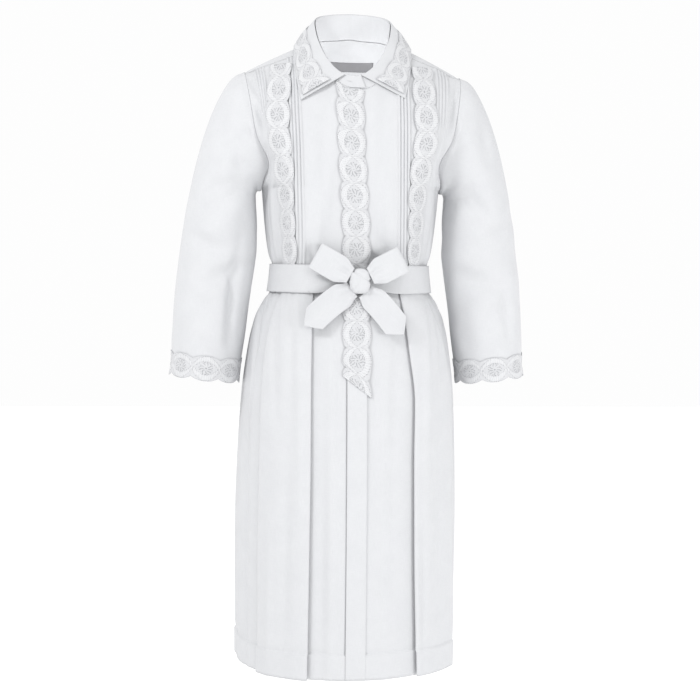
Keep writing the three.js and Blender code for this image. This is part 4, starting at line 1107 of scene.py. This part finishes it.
class Section:
    # the plain skirt's section at one height, measured along the cloth from the middle
    def __init__(self, z, side):
        form = skirtForm(z)
        self.z, self.side = z, side
        around, corner, soft, steps = 8, 102 if side < 0 else 98, 12, 60
        depth = form["front"] if side < 0 else form["back"]
        full = form["half"] + 1.7 * around

        def bend(q):
            return softRamp((q - corner) / soft) - softRamp(-corner / soft)

        t = np.linspace(0, 1, steps + 1)
        angle, q = t * math.pi / 2, t * full
        flatX = q - around * softRamp((q - form["half"] - 0.2 * around) / around)
        flatY = depth * (1 - bend(q) / bend(full))
        self.x = lerp(flatX, form["half"] * np.sin(angle), form["round"])
        self.y = side * lerp(flatY, depth * np.cos(angle), form["round"])
        self.s = np.concatenate([[0], np.cumsum(np.hypot(np.diff(self.x), np.diff(self.y)))])
        self.length = self.s[-1]

    def plain(self, s):
        s = np.asarray(s, float)
        a = np.abs(s)
        past = a > self.length
        a = np.where(past, 2 * self.length - a, a)
        x, y = np.interp(a, self.s, self.x), np.interp(a, self.s, self.y)
        return np.stack([np.where(s < 0, -x, x), np.where(past, -y, y)], -1)

    def at(self, s, height):
        along = self.plain(np.asarray(s) + 6) - self.plain(np.asarray(s) - 6)
        n = np.stack([-self.side * along[..., 1], self.side * along[..., 0]], -1)
        n /= np.linalg.norm(n, axis=-1, keepdims=True)
        q = self.plain(s) + n * np.asarray(height, float)[..., None]
        return stack(q[..., 0], q[..., 1], self.z)


def pleatPath(z, start, inner, end):
    form = {key: float(value) for key, value in skirtForm(z).items()}
    stand, fold = form["stand"], form["fold"]
    near = form[inner]
    far = near + form["width"]
    gather = 3 * float(smooth(-640, -500, z))
    back = 0.42 * stand
    return np.array([
        [start, 0], [lerp(start, near, 0.35), 0], [lerp(start, near, 0.7), 0], [near, 0],
        [near + fold, 0], [near + fold + 1.2, 0.2 * stand], [near + fold, back],
        [near + 2, back], [near - 1, 0.7 * stand], [near + 1.5, stand],
        [lerp(near, far, 0.25), stand + 0.8], [lerp(near, far, 0.5), stand + 1.4],
        [lerp(near, far, 0.75), stand + 0.8],
        [far - 1.5, stand], [far + 1, 0.7 * stand], [far - 2, back],
        [far - fold, back], [far - fold - 1.2, 0.2 * stand], [far - fold, 0],
        [far + 2, 0], [lerp(far, end, 0.28), gather], [lerp(far, end, 0.5), 0],
        [lerp(far, end, 0.74), gather], [end, 0]])


pathSteps = [5, 5, 5, 3, 1, 1, 3, 1, 1, 6, 6, 6, 6, 1, 1, 3, 1, 1, 3, 5, 6, 6, 6]


def finePath(path):
    parts = [np.linspace(path[k], path[k + 1], n, endpoint=False) for k, n in enumerate(pathSteps)]
    fine = np.concatenate(parts + [path[-1:]])
    for _ in range(2):
        fine[1:-1] = fine[1:-1] * 0.5 + (fine[:-2] + fine[2:]) * 0.25
    return fine


# soft upright waves of the skirt's cloth: along the cloth, height, depth, half widths, lean
skirtCreases = {
    "right": [(50, -900, 1.2, 10, 300, 0.005), (68, -1100, -1.4, 9, 200, 0.0),
              (36, -650, -1.0, 9, 120, 0.02), (112, -760, 1.6, 10, 190, 0.01),
              (140, -1040, -1.6, 12, 210, -0.01), (165, -640, -1.6, 8, 110, 0.03),
              (128, -600, -1.2, 7, 90, -0.02), (178, -1150, 1.6, 10, 150, 0.0),
              (222, -700, -2.2, 7, 150, 0.05), (236, -900, 2.4, 9, 240, 0.02),
              (254, -1080, -2.4, 10, 200, 0.0), (212, -1180, -1.6, 9, 120, 0.0)],
    "left": [(30, -820, -1.1, 11, 220, 0.0), (58, -1000, 1.3, 10, 260, 0.0),
             (80, -700, -1.2, 9, 160, 0.04), (150, -720, 1.5, 10, 170, 0.02),
             (176, -980, -1.6, 12, 230, 0.0), (136, -1120, -1.3, 9, 160, 0.01),
             (190, -620, -1.4, 8, 100, 0.03), (160, -580, -1.2, 6, 70, 0.0),
             (238, -760, -2.0, 8, 170, 0.03), (256, -980, 2.2, 9, 240, 0.0),
             (270, -1120, -2.0, 9, 160, 0.0), (232, -1200, 1.5, 8, 110, 0.0)],
}
creaseOfSkirt = {"strength": 2.4, "deepest": -3.8, "highest": 4.5}
aroundHemLine = np.array([-6, -4, -2.5, -1, 0, 1.5, 4])
skirtZ = np.concatenate([np.linspace(hemZ, hemTurnZ - 9, 8), hemTurnZ + aroundHemLine,
                         np.linspace(hemTurnZ + 12, -640, 57)[:-1],
                         np.linspace(-640, waistZ - seamGap / 2, 58)])


def hemStep(z):
    # the turned-up cloth behind pushes the hem out, and its stitched edge pulls in
    out = skirt["hemOut"] * (1 - smooth(hemTurnZ - 5, hemTurnZ, z))
    return out - skirt["hemLine"] * bump(z - hemTurnZ - 1, 4)


def thickness(z):
    return np.where(z < hemTurnZ - 1, skirt["hemWall"], skirt["wall"])


skirtFronts = (("right", frontEdges["over"], "innerRight"), ("left", frontEdges["under"], "innerLeft"))
for side, start, inner in skirtFronts:
    rows, flats = [], []
    for z in skirtZ:
        section = Section(z, -1)
        path = finePath(pleatPath(z, start, inner, section.length - seamGap / 2))
        s, high = path[:, 0], path[:, 1].copy()
        number = np.linspace(0, 1, len(s))
        inPanel = smooth(0, 0.06, number) * (1 - smooth(0.96, 1, number))
        soft = creased(skirtCreases[side], s, z)
        onTop = (number < 0.16) | ((number > 0.34) & (number < 0.62)) | (number > 0.80)
        waist = smooth(-600, -510, z)
        gather = 1.3 * np.sin(s * 0.55 + 1) * waist * (number > 0.78) + 0.5 * np.sin(s * 0.33) * waist
        soft = np.clip(creaseOfSkirt["strength"] * soft, creaseOfSkirt["deepest"], creaseOfSkirt["highest"])
        high += (soft + gather) * inPanel * onTop
        high += hemStep(z)
        rows.append(section.at(s, high))
        flats.append(np.concatenate([[0], np.cumsum(np.hypot(np.diff(s), np.diff(path[:, 1])))]))
    grid = np.array(rows)
    u = np.array(flats)
    uv = np.stack([u, np.broadcast_to(skirtZ[:, None], u.shape)], -1)
    wall = np.broadcast_to(thickness(skirtZ)[:, None], u.shape)
    normals = normalsOf(grid)
    normals[:, -1, 1] = 0
    normals[:, -1] /= np.linalg.norm(normals[:, -1], axis=1, keepdims=True)
    piece = shell("skirt_front_" + side, grid, wall, cloth, mirror=side == "right", uv=uv, normals=normals)
    finished(piece, "skirt_front_" + side)
    if side == "right":
        skirtRight = grid * [-1, 1, 1]
        skirtRightNormals = normals * [-1, 1, 1]
    else:
        skirtLeft, skirtLeftNormals = grid, normals

backWaves = {"count": 3, "waist": 2.5, "hem": 11}
parts = np.linspace(1, -1, skirt["backColumns"] + 1)
rows = []
for z in skirtZ:
    section = Section(z, 1)
    s = np.abs(parts) * (section.length - seamGap / 2)
    swell = lerp(backWaves["waist"], backWaves["hem"], smooth(waistZ, hemZ + 300, z))
    high = swell * (1 - np.cos(2 * math.pi * backWaves["count"] * parts)) / 2
    keep = 1 - smooth(0.93, 1, np.abs(parts))
    waist = smooth(-640, -500, z)
    high = high + (1.4 * np.sin(parts * 66) * waist + 1.0 * np.sin(parts * 19 + 1 + 0.002 * z)) * keep
    q = section.at(s, high + hemStep(z))
    q[:, 0] *= np.where(parts < 0, -1, 1)
    rows.append(q)
grid = np.array(rows)
normals = normalsOf(grid)
for edge in (0, -1):
    normals[:, edge, 1] = 0
    normals[:, edge] /= np.linalg.norm(normals[:, edge], axis=1, keepdims=True)
wall = np.broadcast_to(thickness(skirtZ)[:, None], grid.shape[:2])
skirtBack, skirtBackNormals = grid, normals
finished(shell("skirt_back", grid, wall, cloth, normals=normals), "skirt_back")

parts = edgeParts(19)
base = np.array([Section(z, -1).at(parts * placketHalf, np.zeros(19)) for z in skirtZ])
normals = normalsOf(base)
wave = 0.5 * np.sin(skirtZ * 0.011) * (1 - smooth(-560, waistZ, skirtZ))
wave = wave[:, None] * np.cos(parts * 2)[None, :]
grid = base + normals * (bandLift + bandEdge(parts)[None, :] + wave)[..., None]
skirtBand, skirtBandNormals = grid, normals
finished(shell("placket_skirt", grid, band["wall"], cloth, normals=normals), "placket_skirt")

lowerLace = {"wide": 29, "narrow": 20.5, "medallions": 4, "top": waistZ - 6, "end": -700, "slant": 22}
t = np.linspace(0, 1, 4 * 38 + 1)[:, None]
c = edgeParts(37)[None, :]
p = c * scalloped(lowerLace, t)
cut = lowerLace["slant"] * c * (1 - smooth(0, 0.3, t))
z = lerp(lowerLace["end"], lowerLace["top"], t) - cut
base = np.empty(z.shape + (3,))
near = np.linspace(z.min(), z.max(), 60)
fan = np.array([Section(v, -1).at(np.linspace(-30, 30, 61), np.zeros(61)) for v in near])
rowAt = (z - near[0]) / (near[-1] - near[0]) * 59
columnAt = (p + 30)
i, j = np.clip(rowAt.astype(int), 0, 58), np.clip(columnAt.astype(int), 0, 59)
a, b = (rowAt - i)[..., None], (columnAt - j)[..., None]
base = (fan[i, j] * (1 - a) * (1 - b) + fan[i + 1, j] * a * (1 - b)
        + fan[i, j + 1] * (1 - a) * b + fan[i + 1, j + 1] * a * b)
normals = normalsOf(base)
grid = base + normals * overBand(p)[..., None]
laceShell("placket_lace_lower", grid, normals, t, c, lowerLace)
print("skirt made")


# belt and bow
belt = {"top": -457, "end": -514, "knotTop": -476, "knotEnd": -502, "topOff": 9.9, "endOff": 15.8,
        "wall": 1.4}
front0, back0 = Section(waistZ, -1), Section(waistZ, 1)
quarter = np.linspace(0, 1, 66)
shares = np.linspace(0, 1, 21)[:, None]


def beltQuarter(parts, section, side):
    s = parts * section.length
    wide = smooth(12, 80, np.abs(s)) if side < 0 else np.ones_like(s)
    z = lerp(lerp(belt["knotEnd"], belt["end"], wide), lerp(belt["knotTop"], belt["top"], wide), shares)
    off = lerp(belt["endOff"], belt["topOff"], (z - belt["end"]) / (belt["top"] - belt["end"]))
    near = bump(s, 62) if side < 0 else 0 * s
    pull = 1.1 * np.sin((shares - 0.5) * 15 + np.abs(s) * 0.02) * near * np.sin(np.pi * shares)
    droop = 0.8 * np.sin(s * 0.045 + shares * 2) * (1 - near)
    q = section.at(np.broadcast_to(s, z.shape), off + pull + droop * np.sin(np.pi * shares))
    q[..., 2] = z
    return q


grid = np.concatenate([
    beltQuarter(quarter, front0, -1), beltQuarter(quarter[:-1][::-1], back0, 1),
    beltQuarter(-quarter[1:], back0, 1), beltQuarter(-quarter[1:-1][::-1], front0, -1)], 1)
normals = normalsOf(grid, ring=True)
total = lengthsAlong(grid, 1)[10, -1] + 2.5
u = np.broadcast_to(lengthsAlong(grid, 1)[10], grid.shape[:2])
uv = np.stack([u, lengthsAlong(grid, 0)], -1)
beltGrid, beltNormals = grid, normals
finished(shell("belt_band", grid, belt["wall"], cloth, ring=True, normals=normals, uv=uv, period=total),
         "belt_band")

knot = {"x": 6, "y": -132.1, "z": -489, "halfX": 21.5, "halfY": 11.5, "halfZ": 25.5}
v = np.linspace(-math.pi / 2, math.pi / 2, 61)[:, None]
u = np.linspace(0, 2 * math.pi, 97)[:-1][None, :]
sx, sz, sy = np.cos(v) * np.sin(u), np.sin(v) + 0 * u, -np.cos(v) * np.cos(u)


def blunt(value):
    return np.sign(value) * np.abs(value) ** 0.8


x, y, z = blunt(sx), blunt(sy), blunt(sz)
diagonal = z * 0.8 - x * 0.6
groove = 0.13 * bump(z + 0.5 * x - 0.5, 0.1) + 0.05 * bump(diagonal + 0.2, 0.16)
strain = 0.012 * np.sin(diagonal * 14 + x * 3)
swell = 1 - (groove + strain) * (sy < 0.2)
grid = stack(knot["x"] + knot["halfX"] * x * (1 - 0.06 * np.cos(5 * x)) * swell,
             knot["y"] + knot["halfY"] * y * (1 - 0.07 * np.cos(5 * x)) * swell,
             knot["z"] + knot["halfZ"] * z * swell)
rows, columns = grid.shape[:2]
number = np.arange(rows * columns).reshape(rows, columns)
number = np.concatenate([number, number[:, :1]], 1)
lower, upper = number[1:-2], number[2:-1]
faces = np.stack([lower[:, :-1], lower[:, 1:], upper[:, 1:], upper[:, :-1]], -1).reshape(-1, 4)
uv = np.stack([np.broadcast_to(u * 18, (rows, columns)), np.broadcast_to(v * 24, (rows, columns))], -1)
knotMesh = makeMesh("bow_knot", grid.reshape(-1, 3), faces.tolist(), cloth, uv.reshape(-1, 2), 36 * math.pi)
finished(knotMesh, "bow_knot")

bowLoops = {"right": {"reach": 104, "rise": 29, "side": -1, "root": 21.8},
            "left": {"reach": 99, "rise": 27.5, "side": 1, "root": 23.4}}
bow = {"narrow": 15, "wide": 28, "open": 7, "wall": 1.0}


def bowLoop(side, reach, rise, root):
    turn = math.radians(rise)
    sign = -1 if side == "right" else 1
    out = np.array([sign * math.cos(turn), 0, math.sin(turn)])
    across = np.array([-sign * math.sin(turn), 0, math.cos(turn)])
    stops = [(root, -1), (38, -1), (56, -1), (74, -1), (88, -0.95), (96, -0.7), (100, 0),
             (96, 0.7), (88, 0.95), (74, 1), (56, 1), (38, 1), (root, 1)]
    if sign < 0:
        stops = stops[::-1]
    counter = np.arange(len(stops), dtype=float)
    fine = np.linspace(0, len(stops) - 1, 121)
    way = Table(["i", "along", "layer"], *[[k, *stop] for k, stop in zip(counter, stops)])(fine)
    along, layer = way["along"][None, :], way["layer"][None, :]
    part = np.linspace(-1, 1, 31)[:, None]
    opened = lerp(3.2, bow["open"], smooth(root, 70, along))
    half = lerp(bow["narrow"], bow["wide"], smooth(14, 50, along))
    curl = 2.5 * part ** 2 * smooth(40, 90, along)
    fromKnot = 1 - smooth(root + 4, 74, along)
    crease = 2.4 * np.sin(part * 5.2 + 0.4) + 1.1 * np.sin(part * 11)
    crease = crease * fromKnot * smooth(root - 1, root + 10, along)
    belly = 1.8 * (1 - part ** 2) * bump(along - 62, 22) * (layer < 0)
    depth = layer * opened + curl + np.clip(crease, -2.9, 2.9) * 0.9 + belly
    centre = np.array([knot["x"], knot["y"] - 4, knot["z"]])
    grid = (centre + out * (along * reach / 100)[..., None] * np.ones_like(part)[..., None]
            + across * (part * half)[..., None] + np.array([0, 1, 0]) * depth[..., None])
    normals = normalsOf(grid)
    return finished(shell("bow_loop_" + side, grid, bow["wall"], cloth, normals=normals), "bow_loop_" + side)


for side, loop in bowLoops.items():
    bowLoop(side, loop["reach"], loop["rise"], loop["root"])

bowTails = {"right": {"start": (-9, -506), "end": (-86, -563), "tip": 26},
            "left": {"start": (18, -510), "end": (77, -576), "tip": 25}}


def bowTail(side, start, end, tip):
    start3, end3 = np.array([start[0], 0, start[1]]), np.array([end[0], 0, end[1]])
    along = end3 - start3
    length = np.linalg.norm(along)
    along = along / length
    across = np.array([-along[2], 0, along[0]])
    share = np.linspace(1, 0, 60)[:, None]
    part = np.linspace(-1, 1, 41)[None, :]
    half = lerp(18, 27, smooth(0, 0.3, share))
    pointed = tip * smooth(0.6, 1, share) * (1 - np.abs(part))
    wave = 1.6 * np.cos(np.pi * (part + 0.2)) * smooth(0, 0.4, share)
    crease = 2.0 * np.sin(part * 6 + 0.6) * (1 - smooth(0.1, 0.55, share)) * smooth(0, 0.1, share)
    y = -130.5 - 24 * share ** 1.1 + wave + crease
    arched = 4 * np.sin(np.pi * share)
    grid = (np.array([start[0], 0, start[1]]) + along * (length * share + pointed)[..., None]
            + across * (part * half)[..., None] + [0, 0, 1] * arched[..., None]
            + np.array([0, 1, 0]) * y[..., None])
    normals = normalsOf(grid)
    return finished(shell("bow_tail_" + side, grid, bow["wall"], cloth, normals=normals), "bow_tail_" + side)


for side, tail in bowTails.items():
    bowTail(side, tail["start"], tail["end"], tail["tip"])
print("belt and bow made")


# stitching, picots, buttonhole and thread loop
seams = []
for grid, normals in ((placketGrid, placketNormals), (skirtBand, skirtBandNormals)):
    for column in (3, -4):
        seams.append((grid[:, column], normals[:, column]))
for row in (1, -2):
    seams.append((beltGrid[row], beltNormals[row]))
    seams.append((yokeGridPoints[row], yokeNormals[row]))
for row in (1, 3):
    seams.append((leafGrid[row], leafNormals[row]))
for column in (1, 3, -2, -4):
    seams.append((leafGrid[2:32, column], leafNormals[2:32, column]))
hemRow = int(np.argmin(np.abs(skirtZ - hemTurnZ)))
skirtParts = ((skirtRight, skirtRightNormals), (skirtLeft, skirtLeftNormals), (skirtBack, skirtBackNormals))
for grid, normals in skirtParts:
    seams.append((grid[hemRow], normals[hemRow]))
stitches("seam_stitches", seams, thread)

picotLines += [(leafGrid[:33, 0], leafNormals[:33, 0]), (leafGrid[:33, -1], leafNormals[:33, -1])]
stitches("lace_picots", picotLines, thread, length=1.7, gap=1.0, radius=0.75, sink=0.3, start=0.1)

buttonhole = {"from": 348.5, "to": 356.5, "row": 7, "half": 0.8}
picked = (standTurns >= buttonhole["from"]) & (standTurns <= buttonhole["to"])
path, up = standGrid[buttonhole["row"], picked], standNormals[buttonhole["row"], picked]
lips = [(path + [0, 0, side * buttonhole["half"]], up) for side in (-1, 1)]
stitches("buttonhole_stitches", lips, thread, length=0.5, gap=0.1, radius=0.4, sink=0.0, start=0.0)

loopX = -95
top = beltGrid[0, np.argmin(np.abs(beltGrid[0, :, 0] - loopX) + (beltGrid[0, :, 1] > 0) * 1000)]
row = skirtRight[np.argmin(np.abs(skirtZ + 524))]
foot = row[np.argmin(np.abs(row[:, 0] - loopX) + (row[:, 1] > 0) * 1000)]
path = np.array([top + [0, -0.4, 5], top + [0, -1.6, -1], foot + [0, -1.5, 3], foot + [0, -0.4, 0]])
forward = np.tile([0, -1.0, 0], (len(path), 1))
stitches("belt_thread_loop", [(path, forward)], thread, length=6, gap=0.2, radius=0.6, sink=0, start=0)
print("stitching made")


# floor, light and camera
view = {"azimuth": -6.5041, "turn": -0.038, "pitch": 2.0359, "roll": 0.75, "distance": 2.9,
        "height": -0.44454, "focal": 1382.8, "wide": 700, "shiftUp": 42}
room = {"floorZ": -1.62, "floorHalf": 8, "dark": (0.93, 0.93, 0.93), "light": (0.96, 0.96, 0.96),
        "glow": 0.15, "sky": 0.985}


def floorAndWorld():
    # a plain pale sheet under the robe, which hangs at a wearer's height above it
    kit = Kit("studioFloor")
    place = kit.node("ShaderNodeTexCoord", {}, {}, out=3)
    grain = kit.node("ShaderNodeTexNoise", {}, {"Vector": place, "Scale": 40.0, "Detail": 2.0})
    material = kit.finish(colour=kit.blend(grain, room["dark"], room["light"]), roughness=0.8,
                          specular=0.1, glow=(1, 1, 1), glowStrength=room["glow"])
    mesh = bpy.data.meshes.new("studio_floor")
    half, floor = room["floorHalf"], room["floorZ"]
    corners = [(x * half, y * half, floor) for x, y in ((-1, -1), (1, -1), (1, 1), (-1, 1))]
    mesh.from_pydata(corners, [], [(0, 1, 2, 3)])
    mesh.materials.append(material)
    ground = bpy.data.objects.new("studio_floor", mesh)
    bpy.context.scene.collection.objects.link(ground)
    world = bpy.data.worlds.new("studio")
    bpy.context.scene.world = world
    world.use_nodes = True
    sky = world.node_tree.nodes["Background"]
    sky.inputs["Color"].default_value = (1, 1, 1, 1)
    sky.inputs["Strength"].default_value = room["sky"]


def lamp(name, place, aim, size, power):
    light = bpy.data.lights.new(name, "AREA")
    light.shape, light.size, light.energy = "DISK", size, power
    piece = bpy.data.objects.new(name, light)
    piece.location = place
    piece.rotation_euler = (Vector(aim) - Vector(place)).to_track_quat("-Z", "Y").to_euler()
    bpy.context.scene.collection.objects.link(piece)


def camera():
    data = bpy.data.cameras.new("camera")
    piece = bpy.data.objects.new("camera", data)
    bpy.context.scene.collection.objects.link(piece)
    a = math.radians(view["azimuth"])
    place = Vector((math.sin(a) * view["distance"], -math.cos(a) * view["distance"], view["height"]))
    b, pitch = math.radians(view["azimuth"] + view["turn"]), math.radians(view["pitch"])
    aim = Vector((-math.sin(b) * math.cos(pitch), math.cos(b) * math.cos(pitch), -math.sin(pitch)))
    turn = aim.to_track_quat("-Z", "Y").to_matrix().to_4x4()
    roll = Matrix.Rotation(math.radians(view["roll"]), 4, "Z")
    piece.matrix_world = Matrix.Translation(place) @ turn @ roll
    data.sensor_width = 36
    data.lens = data.sensor_width * view["focal"] / view["wide"]
    data.shift_y = -view["shiftUp"] / view["wide"]
    bpy.context.scene.camera = piece


floorAndWorld()
lamp("key", (-2.0, -1.7, 1.2), (0, 0, -0.6), 0.7, 36)
lamp("fill", (2.0, -2.3, -0.5), (0, 0, -0.8), 0.9, 25)
lamp("inside", (0, -0.02, -0.09), (0, 0.09, 0.0), 0.07, 0.18)
camera()
bpy.context.scene.view_settings.view_transform = "Standard"
print("stage made")
